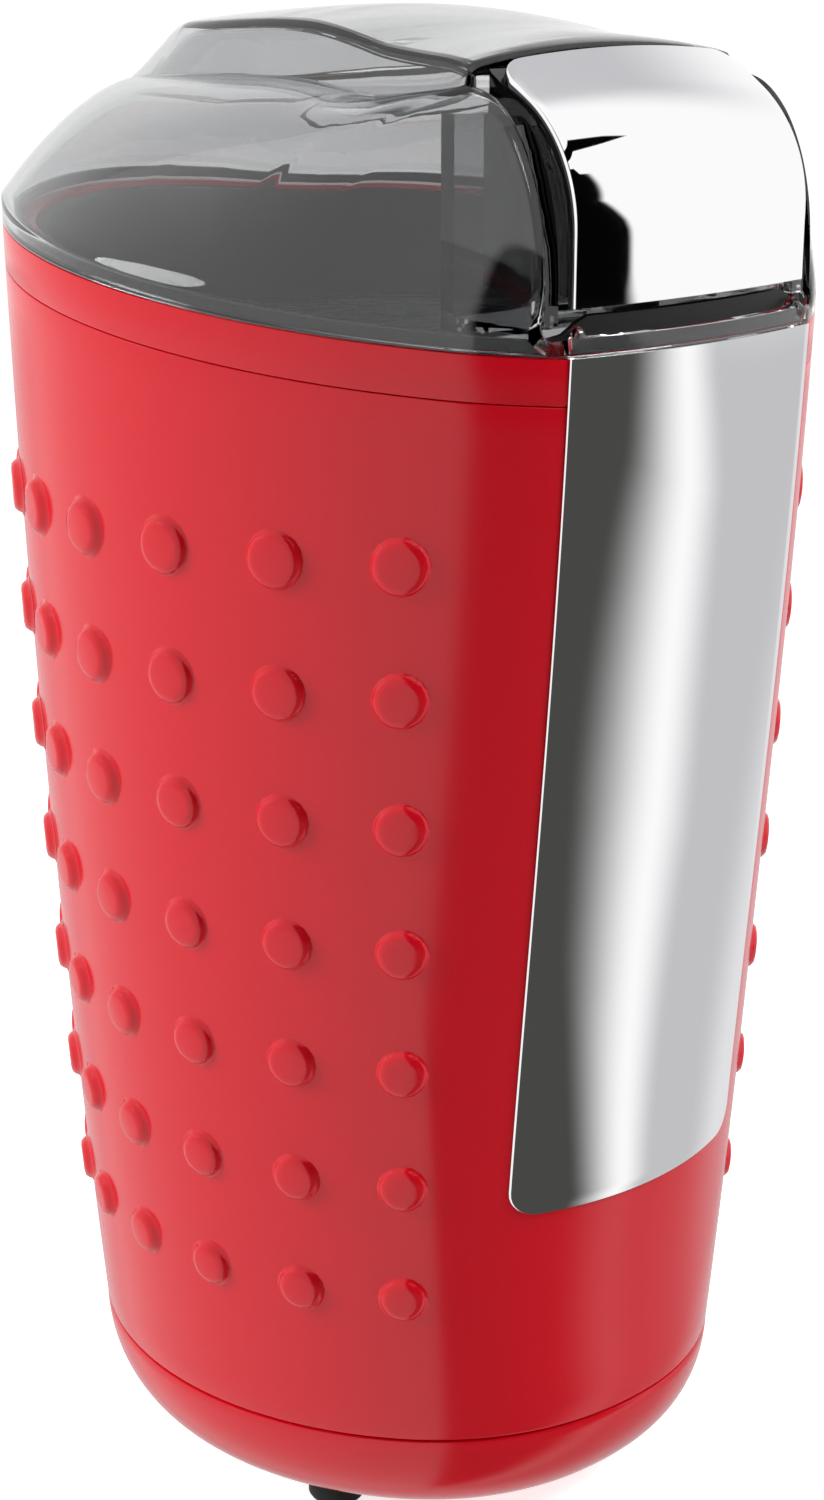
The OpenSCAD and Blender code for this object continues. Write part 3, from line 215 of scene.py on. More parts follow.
nodeFinish = {
    "softRed": ["housing_shell", "top_collar", "base_cover"],
    "chrome": ["front_trim_plate", "press_button"],
    "smoked": ["lid_shell", "button_housing"],
    "glossBlack": ["button_carrier"],
    "blackPlastic": ["deck_tray", "chassis_posts", "brush_caps", "pin_guide",
                     "microswitch_case", "cooling_fan"],
    "rubber": ["rubber_feet", "bowl_gasket", "motor_mount_bushes", "shaft_seal", "cord_gland"],
    "whitePlastic": ["button_plunger", "switch_pin"],
    "redSlider": ["switch_plunger"],
    "fuseBody": ["thermal_fuse"],
    "leadSkin": ["motor_leads"],
    "carbon": ["carbon_brush_front", "carbon_brush_rear"],
    "bowlSteel": ["grinding_bowl"],
    "bladeSteel": ["blade"],
    "shaftSteel": ["rotor_shaft"],
    "screwSteel": ["base_screws", "bowl_screws", "post_screws", "stator_bolts", "stator_nuts",
                   "switch_screws", "blade_nut", "spacer_sleeves", "thrust_washers",
                   "blade_spacer"],
    "springSteel": ["brush_springs", "button_springs", "pin_spring"],
    "sheetSteel": ["upper_bearing_bracket", "lower_bearing_bracket", "switch_bracket",
                   "switch_lever"],
    "bronze": ["upper_bush", "lower_bush"],
    "brass": ["brush_holder_front", "brush_holder_rear", "switch_terminals"],
    "copperBar": ["commutator"],
    "coilWire": ["field_coil_front", "field_coil_rear"],
    "rotorWire": ["armature_winding"],
    "iron": ["stator_core", "armature_core"],
}

finishes = makeMaterials()
for finish, names in nodeFinish.items():
    for name in names:
        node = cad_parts[name]
        node.data.materials.clear()
        node.data.materials.append(finishes[finish])
print("materials:", len(finishes))


# ---------- mesh helpers ----------
def toMetres(point):
    return Vector((point[0] * mm, (point[1] + axisY) * mm, point[2] * mm))


def sweepRings(bm, rings, closed=False, capFirst=False, capLast=False, open_=False):
    # the first ring is extruded to each next one; points are in mm round the motor axis
    first = [bm.verts.new(toMetres(p)) for p in rings[0]]
    pairs = zip(first, first[1:] + ([] if open_ else first[:1]))
    edges = [bm.edges.new(pair) for pair in pairs]
    startEdges, current = edges, first
    for ring in rings[1:]:
        grown = bmesh.ops.extrude_edge_only(bm, edges=edges)["geom"]
        grownVerts = {v for v in grown if isinstance(v, bmesh.types.BMVert)}
        current = [next(e.other_vert(v) for e in v.link_edges if e.other_vert(v) in grownVerts)
                   for v in current]
        for vert, point in zip(current, ring):
            vert.co = toMetres(point)
        edges = [e for e in grown if isinstance(e, bmesh.types.BMEdge)
                 and e.verts[0] in grownVerts and e.verts[1] in grownVerts]
    if closed:
        bmesh.ops.bridge_loops(bm, edges=startEdges + edges)
    if capFirst:
        bmesh.ops.contextual_create(bm, geom=startEdges)
    if capLast:
        bmesh.ops.contextual_create(bm, geom=edges)
    bmesh.ops.recalc_face_normals(bm, faces=bm.faces)


def addObject(name, bm):
    mesh = bpy.data.meshes.new(name)
    bm.to_mesh(mesh)
    bm.free()
    made = bpy.data.objects.new(name, mesh)
    bpy.context.scene.collection.objects.link(made)
    return made


def finishPiece(name, bm, finish, body, replaced=(), sharpAngle=35):
    for edge in bm.edges:
        edge.smooth = len(edge.link_faces) != 2 or \
            edge.calc_face_angle(0) < math.radians(sharpAngle)
    for face in bm.faces:
        face.smooth = True
    piece = addObject(name, bm)
    piece.data.materials.append(finishes[finish])
    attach(piece, body)
    if replaced:
        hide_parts(*replaced)
    return piece


def addModifier(piece, kind, **settings):
    modifier = piece.modifiers.new(kind.lower(), kind)
    for key, value in settings.items():
        setattr(modifier, key, value)


def cutAway(piece, bm):
    # a throwaway object holds the shape that is taken out of the piece
    bmesh.ops.recalc_face_normals(bm, faces=bm.faces)
    cutter = addObject("cutter", bm)
    addModifier(piece, "BOOLEAN", object=cutter, operation="DIFFERENCE", solver="MANIFOLD")
    graph = bpy.context.evaluated_depsgraph_get()
    cut = bpy.data.meshes.new_from_object(piece.evaluated_get(graph))
    piece.modifiers.clear()
    piece.data = cut
    bpy.data.objects.remove(cutter)


def addPlug(bm, x, y, low, high, radius, turn=0.0):
    place = Matrix.Translation(toMetres((x, y, (low + high) / 2)))
    bmesh.ops.create_cone(bm, cap_ends=True, segments=32, radius1=radius * mm,
                          radius2=radius * mm, depth=(high - low) * mm,
                          matrix=place @ Matrix.Rotation(turn, 4, "X"))


# ---------- outline of the body ----------
body = {"rimZ": 158.7, "rimTilt": 0.128, "seamZ": 16.7, "collar": 5.3, "wall": 2.4,
        "backR": (46.0, 38.4), "sideR": (54.6, 46.0), "shoulderR": (4.6, 35.9),
        "frontR": (43.8, 48.4), "lowShift": 1.1, "bow": 0.624, "plateHalf": 19.95,
        "blendBack": 122.4, "blendFront": (49.2, 48.4), "baseMid": -4.9}
bandZ = body["rimZ"] - body["collar"]
bodyHeight = body["rimZ"] - body["seamZ"]


def mix(a, b, t):
    return a + (b - a) * t


def clamp01(t):
    return min(1.0, max(0.0, t))


def way(p):
    return Vector((math.sin(math.radians(p)), -math.cos(math.radians(p))))


def taper(z):
    s = clamp01((body["rimZ"] - z) / bodyHeight)
    return s - body["bow"] * s * (1 - s)


def planParts(t):
    backR, sideR, shoulderR, frontR = [mix(*body[k], t)
                                       for k in ("backR", "sideR", "shoulderR", "frontR")]
    corner = mix(*body["blendFront"], t)
    backMid = Vector((0, -body["lowShift"] * t))
    sideMid = backMid + (backR - sideR) * way(body["blendBack"])
    shoulderMid = sideMid + (sideR - shoulderR) * way(corner)
    sine = max(-0.99, min(0.99, shoulderMid.x / (frontR - shoulderR)))
    frontEnd = math.degrees(math.asin(sine))
    frontMid = shoulderMid + (shoulderR - frontR) * way(frontEnd)
    return (backR, sideR, shoulderR, frontR), (backMid, sideMid, shoulderMid, frontMid), \
        frontEnd, corner


def planRaw(p, t):
    radii, mids, frontEnd, corner = planParts(t)
    q = abs(p)
    k = 3 if q < frontEnd else 2 if q < corner else 1 if q < body["blendBack"] else 0
    point = mids[k] + radii[k] * way(q)
    return Vector((-point.x if p < 0 else point.x, point.y))


def plateAngle(t):
    radii, mids, frontEnd, corner = planParts(t)
    half = body["plateHalf"]
    if half <= radii[3] * math.sin(math.radians(frontEnd)):
        return math.degrees(math.asin(half / radii[3]))
    return math.degrees(math.asin((half - mids[2].x) / radii[2]))


def plan(p, t):
    raw, edgeAngle = planRaw(p, t), plateAngle(t)
    if abs(p) >= edgeAngle:
        return raw
    edgeY = planRaw(edgeAngle, t).y
    return Vector((raw.x, edgeY + (raw.y - edgeY) * mix(0.3, 1, clamp01(t / 0.65))))


def wallPoint(p, z, inward):
    out = way(p)
    return plan(p, taper(z)) - inward * out


def slopeZ(z, y):
    return z + body["rimTilt"] * y * clamp01((z - body["seamZ"]) / (bandZ - body["seamZ"]))


turns = [360 * i / 144 for i in range(144)]
turns = [a - 360 if a > 180 else a for a in turns]


def sloped(inward, z):
    ring = [wallPoint(p, z, inward) for p in turns]
    return [(q.x, q.y, slopeZ(z, q.y)) for q in ring]


def level(inward, z, share):
    ring = [wallPoint(p, z, inward) for p in turns]
    return [(q.x, q.y, z + body["rimTilt"] * share * q.y) for q in ring]


# ---------- casing ----------
casing = {"levels": 44, "edge": 0.45, "seam": 0.2, "dotRows": 7, "dotDrop": 29.2, "dotPitch": 15.35,
          "dotR": (3.2, 2.7), "dotHeight": 1.05, "dotSides": 16,
          "glandUp": 10.9, "glandR": 5.0,
          "dotAngles": (48.9, 64.3, 79.9, 94.8, 109.1, 123, 137, 151.4, 165.8, 180)}


def makeHousing():
    edge, low, high = casing["edge"], body["seamZ"] + 0.08, bandZ - 0.04
    rows = [(edge, low), (edge * 0.45, low + edge * 0.15), (edge * 0.12, low + edge * 0.5),
            (0, low + edge)]
    rows += [(0, mix(low + edge, high - edge, i / casing["levels"]))
             for i in range(1, casing["levels"])]
    seam = casing["seam"]
    rows += [(0, high - seam), (seam * 0.12, high - seam * 0.5),
             (seam * 0.45, high - seam * 0.15), (seam, high)]
    rows += [(body["wall"], high), (body["wall"], high - 2)]
    rows += [(body["wall"], mix(high - 2, low + 2, i / 8)) for i in range(1, 9)]
    rows += [(body["wall"], low)]
    bm = bmesh.new()
    sweepRings(bm, [sloped(*row) for row in rows], closed=True)
    shell = finishPiece("bodyShell", bm, "softRed", "housing", ["housing_shell"])
    z, hole = body["seamZ"] + casing["glandUp"], bmesh.new()
    lean = math.atan((plan(180, taper(z + 3)).y - plan(180, taper(z - 3)).y) / 6)
    addPlug(hole, 0, plan(180, taper(z)).y, z - 10, z + 10, casing["glandR"],
            math.radians(-90) - lean)
    cutAway(shell, hole)


def makeDots():
    bm = bmesh.new()
    for row in range(casing["dotRows"]):
        z = body["rimZ"] - casing["dotDrop"] - row * casing["dotPitch"]
        radius = mix(*casing["dotR"], row / (casing["dotRows"] - 1))
        h = casing["dotHeight"]
        profile = [(radius + 0.7, -0.06), (radius + 0.25, 0.12), (radius + 0.02, 0.55),
                   (radius - 0.35, h * 0.88), (radius - 1.0, h)]
        for angle in casing["dotAngles"]:
            for side in ((1, -1) if angle < 180 else (1,)):
                addDot(bm, z, angle, side, profile)
    finishPiece("gripDots", bm, "softRed", "housing", sharpAngle=60)


def sidewaysDrop(angle, t):
    # how far the wall falls back beside a dot, as pairs of sideways distance and drop
    middle, out = plan(angle, t), way(angle)
    along = Vector((-out.y, out.x))
    pairs = []
    for step in range(-24, 25):
        q = angle + step * 1.5
        other = plan(q if q <= 180 else q - 360, t) - middle
        pairs.append((other.dot(along), other.dot(out)))
    return pairs


def dropAt(pairs, u):
    for (u0, d0), (u1, d1) in zip(pairs, pairs[1:]):
        if u0 <= u <= u1:
            return mix(d0, d1, (u - u0) / max(1e-6, u1 - u0))
    return 0.0


def addDot(bm, z, angle, side, profile):
    t = taper(z)
    middle, out = plan(angle, t), way(angle)
    lean = math.atan((plan(angle, taper(z + 2)) - plan(angle, taper(z - 2))).dot(out) / 4)
    along = Vector((-out.y, out.x, 0))
    normal = Vector((out.x * math.cos(lean), out.y * math.cos(lean), -math.sin(lean)))
    up = normal.cross(along)
    origin = Vector((middle.x, middle.y, z))
    pairs = sidewaysDrop(angle, t)
    sides = casing["dotSides"]
    rings = []
    for r, h in profile:
        ring = []
        for i in range(sides):
            u = r * math.cos(2 * math.pi * i / sides)
            v = r * math.sin(2 * math.pi * i / sides)
            q = origin + along * u + up * v + normal * (h + dropAt(pairs, u))
            ring.append((q.x * side, q.y, q.z))
        rings.append(ring)
    sweepRings(bm, rings, capLast=True)


def makeCollar():
    rim, low, seam = body["rimZ"] - 0.1, bandZ + 0.05, casing["seam"]
    rows = [(seam, low, 1), (seam * 0.4, low + 0.05, 1), (0, low + seam, 1), (0, low + 2.5, 1),
            (0, rim - 0.25, 1), (0.06, rim - 0.08, 1), (0.25, rim, 1), (4.4, rim, 1),
            (4.4, bandZ - 4.5, 1), (body["wall"] + 0.1, bandZ - 4.5, 1),
            (body["wall"] + 0.1, low, 1)]
    bm = bmesh.new()
    sweepRings(bm, [level(*row) for row in rows], closed=True)
    finishPiece("topCollar", bm, "softRed", "housing", ["top_collar"])


plate = {"low": 49.4, "corner": 3.5, "thick": 0.35, "columns": 40, "rows": 60, "edge": 0.12,
         "return": 1.2}


def plateHalfAt(height):
    c, half = plate["corner"], body["plateHalf"]
    if height >= c:
        return half
    return half - c + math.sqrt(max(0.0, c * c - (c - height) ** 2))


def platePoint(u, height, outward):
    z = plate["low"] + height
    x = u * plateHalfAt(height)
    edgeAngle = math.radians(plateAngle(taper(z)))
    p = math.degrees(math.asin(max(-1, min(1, x / body["plateHalf"])) * math.sin(edgeAngle)))
    q = wallPoint(p, z, -outward)
    return (x, q.y, slopeZ(z, q.y))


def makePlate():
    # one strip per row from the left edge to the right one, turned over at the edges; the
    # top two rows reach back over the collar
    top = body["rimZ"] - plate["low"] - 0.02
    c, edge, thick = plate["corner"], plate["edge"], plate["thick"]
    heights = [c * (1 - math.cos(math.pi / 2 * i / 8)) for i in range(9)]
    heights += [mix(c, top - 0.06, i / plate["rows"]) for i in range(1, plate["rows"] + 1)]
    heights += [top - 0.055, top]
    columns = [-1 + 2 * i / plate["columns"] for i in range(plate["columns"] + 1)]
    rings = []
    for height in heights:
        scale = 1 - edge / max(plateHalfAt(height), 1)
        behind = 0.12 if height < top - 0.057 else -plate["return"]
        outer = [platePoint(u * scale, height, thick) for u in columns]
        inner = [platePoint(u, height, behind) for u in reversed(columns)]
        left = platePoint(-1, height, thick - edge)
        right = platePoint(1, height, thick - edge)
        rings.append([left] + outer + [right] + inner)
    bm = bmesh.new()
    sweepRings(bm, rings, capFirst=True, capLast=True)
    finishPiece("frontPlate", bm, "chrome", "housing", ["front_trim_plate"],
                sharpAngle=50)


base = {"z": 3.3, "flat": 0.75, "inside": 4.0, "postCircle": 30.6, "screwR": 2.9,
        "screwTurns": (20, 160, 200, 340), "footHoleR": 1.8,
        "slotWidth": 1.6, "slotPitch": 4.0, "slotCount": 9, "slotFront": -14, "slotBack": 8}


feet = {"radius": 3.7, "places": ((24.5, -18.6), (-24.5, -18.6), (18.0, 15.6), (-18.0, 15.6))}


def baseRing(scale, inward, z):
    ring = []
    for p in turns:
        q = wallPoint(p, body["seamZ"], inward)
        ring.append((q.x * scale, body["baseMid"] + (q.y - body["baseMid"]) * scale, z))
    return ring


def baseShare(depth):
    height = body["seamZ"] - base["z"]
    return base["flat"] + (1 - base["flat"]) * math.sqrt(max(0, 1 - (depth / height) ** 2))


def makeBase():
    height, seam = body["seamZ"] - base["z"], body["seamZ"]
    depths = [height * math.cos(math.radians(a)) for a in range(0, 88, 4)]
    rings = [baseRing(0.35, 0, base["z"])]
    rings += [baseRing(baseShare(d), 0, seam - d) for d in depths]
    rings += [baseRing(1, 0, seam - 0.5), baseRing(1, 0.12, seam - 0.22),
              baseRing(1, 0.4, seam - 0.06), baseRing(1, 2.5, seam - 0.06),
              baseRing(1, 2.5, seam + 4), baseRing(1, base["inside"], seam + 4)]
    rings += [baseRing(baseShare(d), base["inside"], seam - d) for d in (1, 3, 5, 7, 8.5, 10, 11)]
    rings += [baseRing(0.35, base["inside"], seam - 11)]
    bm = bmesh.new()
    sweepRings(bm, rings, capFirst=True, capLast=True)
    cover = finishPiece("lowerCover", bm, "softRed", "housing", ["base_cover"])
    holes = bmesh.new()
    for turn in base["screwTurns"]:
        x = base["postCircle"] * math.cos(math.radians(turn))
        y = base["postCircle"] * math.sin(math.radians(turn))
        addPlug(holes, x, y, base["z"] - 1, base["z"] + 2.2, base["screwR"])
    for x, y in feet["places"]:
        addPlug(holes, x, y, base["z"] - 1, base["z"] + 5, base["footHoleR"])
    for i in range(base["slotCount"]):
        k = i - base["slotCount"] // 2
        low, high = base["slotFront"] + abs(k), base["slotBack"] - abs(k)
        size = Matrix.Diagonal((base["slotWidth"] * mm, (high - low) * mm, 6 * mm, 1))
        middle = toMetres((k * base["slotPitch"], (low + high) / 2, base["z"] + 2))
        bmesh.ops.create_cube(holes, size=1, matrix=Matrix.Translation(middle) @ size)
    cutAway(cover, holes)


def makeFeet():
    bm = bmesh.new()
    r, z = feet["radius"], base["z"] - 0.02
    profile = [(0.001, 0.25), (1.6, 0.25), (1.9, 0.0), (r - 0.7, 0.0), (r - 0.25, 0.12),
               (r, 0.55), (r, z - 0.3), (r - 0.2, z), (1.7, z), (1.7, z + 3.3), (0.001, z + 3.3)]
    for x, y in feet["places"]:
        rings = [[(x + q * math.cos(a * math.pi / 16), y + q * math.sin(a * math.pi / 16), h)
                  for a in range(32)] for q, h in profile]
        sweepRings(bm, rings, capFirst=True, capLast=True)
    finishPiece("rubberFeet", bm, "rubber", "housing", ["rubber_feet"])


deck = {"z": body["rimZ"] - 13.2, "thick": 2.5, "holeR": 36.2, "outside": 4.6, "wall": 1.4,
        "pinIn": 11.2, "pinR": 3.2, "screwOut": 8.0, "screwR": 1.1}


def makeDeck():
    # the tray under the lid: a lip inside the collar, then a floor with a round hole for the bowl
    z, rim, out = deck["z"], body["rimZ"] - 0.6, deck["outside"]
    inner = out + deck["wall"]
    rows = [(out, z - deck["thick"], 0), (out, z, 0.3), (out, rim - 0.3, 1), (out + 0.1, rim, 1),
            (inner - 0.2, rim, 1), (inner, rim - 0.3, 1), (inner, z + 1, 0.1),
            (inner + 0.3, z + 0.3, 0), (inner + 1, z, 0)]
    rings = [level(*row) for row in rows]
    for drop, more in ((0, 0.4), (0.12, 0.12), (0.4, 0), (deck["thick"], 0)):
        r = deck["holeR"] + more
        rings.append([(r * way(p).x, r * way(p).y, z - drop) for p in turns])
    bm = bmesh.new()
    sweepRings(bm, rings, closed=True)
    tray = finishPiece("deckTray", bm, "blackPlastic", "housing", ["deck_tray"])
    holes, y = bmesh.new(), plan(0, 0).y + deck["pinIn"]
    addPlug(holes, 0, y, z - 5, z + 5, deck["pinR"])
    for x in (deck["screwOut"], -deck["screwOut"]):
        addPlug(holes, x, y, z - 5, z + 5, deck["screwR"])
    cutAway(tray, holes)


makeHousing()
makeDots()
makeDeck()
makeCollar()
makePlate()
makeBase()
makeFeet()
print("casing done")


# ---------- lid ----------
lid = {"archFront": 50.0, "archTop": 21.0, "archDeep": 12.5, "archStart": 1.0,
       "spineBack": 35.0, "spineHalf": 22.0, "rise": 5.6, "crown": 1.9, "wall": 1.6,
       "edge": 2.4, "frontShare": 0.45, "frontRim": 2.0, "backRound": 3.5,
       "steps": 8, "softRounds": 500, "heldSpans": 6, "weld": 4e-6}
archEnd = -lid["archFront"] + lid["archDeep"]
lidAngles = [0, 8, 16, 22, 26, 30, 36, 43, 50, 58, 66, 70, 74, 82, 90, 99, 108, 117, 126, 135,
             144, 153, 162, 171, 180]


def sinTurn(share):
    return math.sin(math.radians(90 * share))


def arch(t):
    return (-lid["archFront"] + lid["archDeep"] * (1 - math.cos(math.radians(90 * t)) ** 0.9),
            lid["archStart"] + (lid["archTop"] - lid["archStart"]) * sinTurn(t))


def footAt(y):
    # height of the foot of the raised middle
    return lid["archTop"] - 1.6 * sinTurn(clamp01((y - archEnd) / 15)) + \
        1.2 * sinTurn(clamp01((y + 22) / 17)) ** 1.2 - \
        2.3 * clamp01((y + 5) / (lid["spineBack"] + 5)) ** 1.6


def spineWide(y):
    return lid["spineHalf"] - 0.1 - 0.06 * (y - archEnd)


def spineEnd(y):
    return clamp01(y / lid["spineBack"]) ** 4


def spineWidth(y):
    return spineWide(y) * (1 - spineEnd(y)) ** 0.25


def spineLean(y):
    return mix(0.03, 0.22, clamp01((y - archEnd) / (lid["spineBack"] - 12 - archEnd)) ** 1.4)


def spineHigh(y):
    f = sinTurn(clamp01((y - archEnd) / 32)) ** 0.55
    return 0.1 + lid["rise"] * f + 1.3 * (1 - f) - 0.6 * clamp01(y / (lid["spineBack"] - 7))


def spineUp(x, y):
    # place up the side wall: 0 at its foot, 1 at its top edge
    return (1 - ((abs(x) / spineWide(y)) ** 4 + spineEnd(y)) ** 0.25) / spineLean(y)


def spineZ(x, y):
    q = max(0, spineUp(x, y))
    r = q if q < 0.8 else 1 if q > 1.2 else q - (q - 0.8) ** 2 / 0.8
    return footAt(y) + spineHigh(y) * r + lid["crown"] * (1 - (x / spineWidth(y)) ** 2) * r


def spineX(q, y):
    return spineWide(y) * max(0, (1 - q * spineLean(y)) ** 4 - spineEnd(y)) ** 0.25


sideShares = (0, 0.18, 0.36, 0.53, 0.68, 0.80, 0.89, 0.95)


def footPoint(x, y):
    return Vector((x, y, body["rimZ"] + footAt(y)))


def endOfFoot(x):
    # the back end of the foot in plan
    wide = spineWide(lid["spineBack"] - lid["backRound"])
    return footPoint(x, lid["spineBack"] * (1 - (x / wide) ** 4) ** 0.25)


def edgePoint(i):
    # inner edge of a side shell, on the right: low front rim, arch, then foot to the back end
    p = lidAngles[i]
    if i < 5:
        q = wallPoint(p, body["rimZ"], 0)
        return Vector((q.x, q.y, body["rimZ"] + body["rimTilt"] * q.y + lid["frontRim"]))
    if i == 5:
        return Vector((lid["spineHalf"], -lid["archFront"], body["rimZ"] - 4.5))
    if i < 12:
        y, z = arch((0, 0.2, 0.4, 0.6, 0.8, 1)[i - 6])
        return Vector((lid["spineHalf"] if i < 11 else spineWidth(archEnd), y, body["rimZ"] + z))
    last = lid["spineBack"] - lid["backRound"]
    if i < 20:
        y = mix(archEnd, last, sideShares[i - 12] + 0.04)
        return footPoint(spineWidth(y), y)
    return endOfFoot((24 - i) / 5 * spineWidth(last))


def splinePoint(a, b, c, d, s):
    # centripetal, so that tight corners don't overshoot
    t1 = max((b - a).length, 1e-4) ** 0.5
    t2 = t1 + max((c - b).length, 1e-4) ** 0.5
    t3 = t2 + max((d - c).length, 1e-4) ** 0.5
    t = mix(t1, t2, s)
    ab, bc, cd = a.lerp(b, t / t1), b.lerp(c, (t - t1) / (t2 - t1)), c.lerp(d, (t - t2) / (t3 - t2))
    return ab.lerp(bc, t / t2).lerp(bc.lerp(cd, (t - t1) / (t3 - t1)), (t - t1) / (t2 - t1))


def mirrored(half):
    # a whole ring from its right half, which runs from front to back
    return half + [Vector((-q.x, q.y, q.z)) for q in half[-2:0:-1]]


def edgeHalf(steps):
    points = [edgePoint(i) for i in range(len(lidAngles))]
    points = [Vector((-points[1].x, *points[1].yz))] + points
    points.append(Vector((-points[-2].x, *points[-2].yz)))
    half = []
    for i in range(1, len(points) - 2):
        a, b, c, d = points[i - 1:i + 3]
        for k in range(steps):
            q = splinePoint(a, b, c, d, k / steps)
            if i > 11:
                back = q.y > lid["spineBack"] - 4
                q = endOfFoot(q.x) if back else footPoint(spineWidth(q.y), q.y)
            half.append(q)
    return half + [points[-2]]


def easeIn(t):
    t = clamp01(t)
    return t * t * (3 - 2 * t)


def softened(ring, rounds, held):
    # the points beside both ends of the ring are held
    for _ in range(rounds):
        moved = [(a + b * 2 + c) / 4 for a, b, c in zip(ring, ring[1:], ring[2:])]
        ring = ring[:held] + moved[held - 1:1 - held] + ring[-held:]
    return ring


def outlineHalf(high, steps):
    # the wall is upright in front, so the dome starts lower there
    half = []
    for a, b in zip(lidAngles, lidAngles[1:]):
        for k in range(steps):
            p = mix(a, b, k / steps)
            q, share = wallPoint(p, body["rimZ"], 0), mix(lid["frontShare"], 1,
                                                          easeIn((p - 24) / 16))
            half.append(Vector((q.x, q.y, body["rimZ"] + body["rimTilt"] * q.y + high * share)))
    q = wallPoint(180, body["rimZ"], 0)
    return half + [Vector((0, q.y, body["rimZ"] + body["rimTilt"] * q.y + high))]


def spineRow(start):
    # across the raised middle, from its foot on the right to its foot on the left
    y = min(start.y, lid["spineBack"] - 0.02)
    reach = min(1, 0.79 * spineUp(0, y))
    xs = [spineX(q * reach, y) for q in (0.04, 0.1, 0.2, 0.32, 0.45, 0.58, 0.7, 0.8, 0.87, 0.94,
                                         1, 1.06, 1.13, 1.2)]
    xs += [k * xs[-1] for k in (0.94, 0.86, 0.76, 0.64, 0.52, 0.4, 0.27, 0.13, 0)]
    half = [start] + [Vector((q, y, body["rimZ"] + spineZ(q, y))) for q in xs]
    return half + [Vector((-q.x, q.y, q.z)) for q in half[-2::-1]]


def makeLid():
    steps = lid["steps"]
    edgeLine = edgeHalf(steps)
    outline = mirrored(outlineHalf(lid["edge"], steps))
    trimmed = mirrored(edgeLine)
    smooth = softened(trimmed, lid["softRounds"], lid["heldSpans"] * steps)
    rings = [mirrored(outlineHalf(high, steps)) for high in (0.04, 0.3, 0.9, 1.6)]
    shares = [0.04 * i for i in range(5)] + [0.2 + 0.05 * i for i in range(15)]
    for t in shares + [0.94, 0.97, 0.99, 1]:
        rise, ring = 1 - (1 - t) ** 1.9, []
        for o, e, soft in zip(outline, trimmed, smooth):
            q = Vector((mix(o.x, soft.x, t), mix(o.y, soft.y, t), mix(o.z, soft.z, rise)))
            ring.append(q + (e - soft) * t ** 4)
        rings.append(ring)
    bm = bmesh.new()
    sweepRings(bm, rings)
    crown = edgeLine[lidAngles.index(70) * steps:]
    rows = [spineRow(q) for q in crown[:-1]]
    sweepRings(bm, rows + [[crown[-1]] * len(rows[0])], open_=True)
    bmesh.ops.remove_doubles(bm, verts=bm.verts, dist=lid["weld"])
    bmesh.ops.recalc_face_normals(bm, faces=bm.faces)
    shell = finishPiece("lidShell", bm, "smoked", "lid", ["lid_shell"], 60)
    addModifier(shell, "SOLIDIFY", thickness=lid["wall"] * mm, offset=-1, use_even_offset=True)


lip = {"inside": (1.75, 2.5), "high": 1.3, "frontHigh": 3.8, "frontTurn": (22, 30)}


def makeRimLip():
    # the black seat of the lid, seen through its clear rim
    rings = []
    for inward, share in ((lip["inside"][0], 0), (lip["inside"][0], 1), (lip["inside"][1], 1),
                          (lip["inside"][1], 0)):
        ring = []
        for p in turns:
            q = wallPoint(p, body["rimZ"], inward)
            past = easeIn((abs(p) - lip["frontTurn"][0]) /
                          (lip["frontTurn"][1] - lip["frontTurn"][0]))
            high = 0.1 + share * mix(lip["frontHigh"], lip["high"], past)
            ring.append((q.x, q.y, body["rimZ"] + body["rimTilt"] * q.y + high))
        rings.append(ring)
    bm = bmesh.new()
    sweepRings(bm, rings, closed=True)
    finishPiece("rimLip", bm, "blackPlastic", "lid")


makeLid()
makeRimLip()
print("lid done")


# ---------- push button ----------
button = {"front": 51.5, "bendR": 16.0, "lean": 56, "back": 39.1, "bend": 6.4, "low": -1.55,
          "sheet": 0.45, "depth": 1.2, "bulge": 1.4, "half": 19.0, "edge": 0.22, "corner": 3.2}


def faceLine(t, inward):
    front, r = button["front"], button["bendR"]
    if t <= 1:
        return (-front + inward, mix(button["low"], button["bend"], t), -1, 0)
    a = math.radians(button["lean"] * min(t - 1, 1))
    y = -front + r - (r - inward) * math.cos(a)
    z = button["bend"] + (r - inward) * math.sin(a)
    if t > 2:
        run = front - button["back"] - r * (1 - math.cos(a))
        y, z = y + run * (t - 2), z + run * (t - 2) / math.tan(a)
    return (y, z, -math.cos(a), math.sin(a))


def facePoint(x, t, inward):
    y, z, outY, outZ = faceLine(t, inward)
    bulge = button["bulge"] * (1 - (x / button["half"]) ** 2)
    return (x, y + outY * bulge, body["rimZ"] + z + outZ * bulge)


def faceRows():
    # pairs of place along the face and half width there; the corners at the back end are round
    corner, places = button["corner"], [3 - i / 200 for i in range(601)]
    walked, rows, last = 0, [], faceLine(3, 0)
    wanted = [corner * (1 - math.cos(math.pi / 2 * i / 10)) for i in range(11)]
    for t in places:
        here = faceLine(t, 0)
        walked += math.hypot(here[0] - last[0], here[1] - last[1])
        last = here
        if walked >= wanted[0] - 1e-6:
            gap = max(0, corner - walked)
            rows.append((t, button["half"] - corner + math.sqrt(corner ** 2 - gap ** 2)))
            wanted = wanted[1:] or [wanted[0] + 0.9]
            while len(wanted) > 1 and wanted[0] < walked:
                wanted = wanted[1:]
    return rows + [(0, button["half"])]


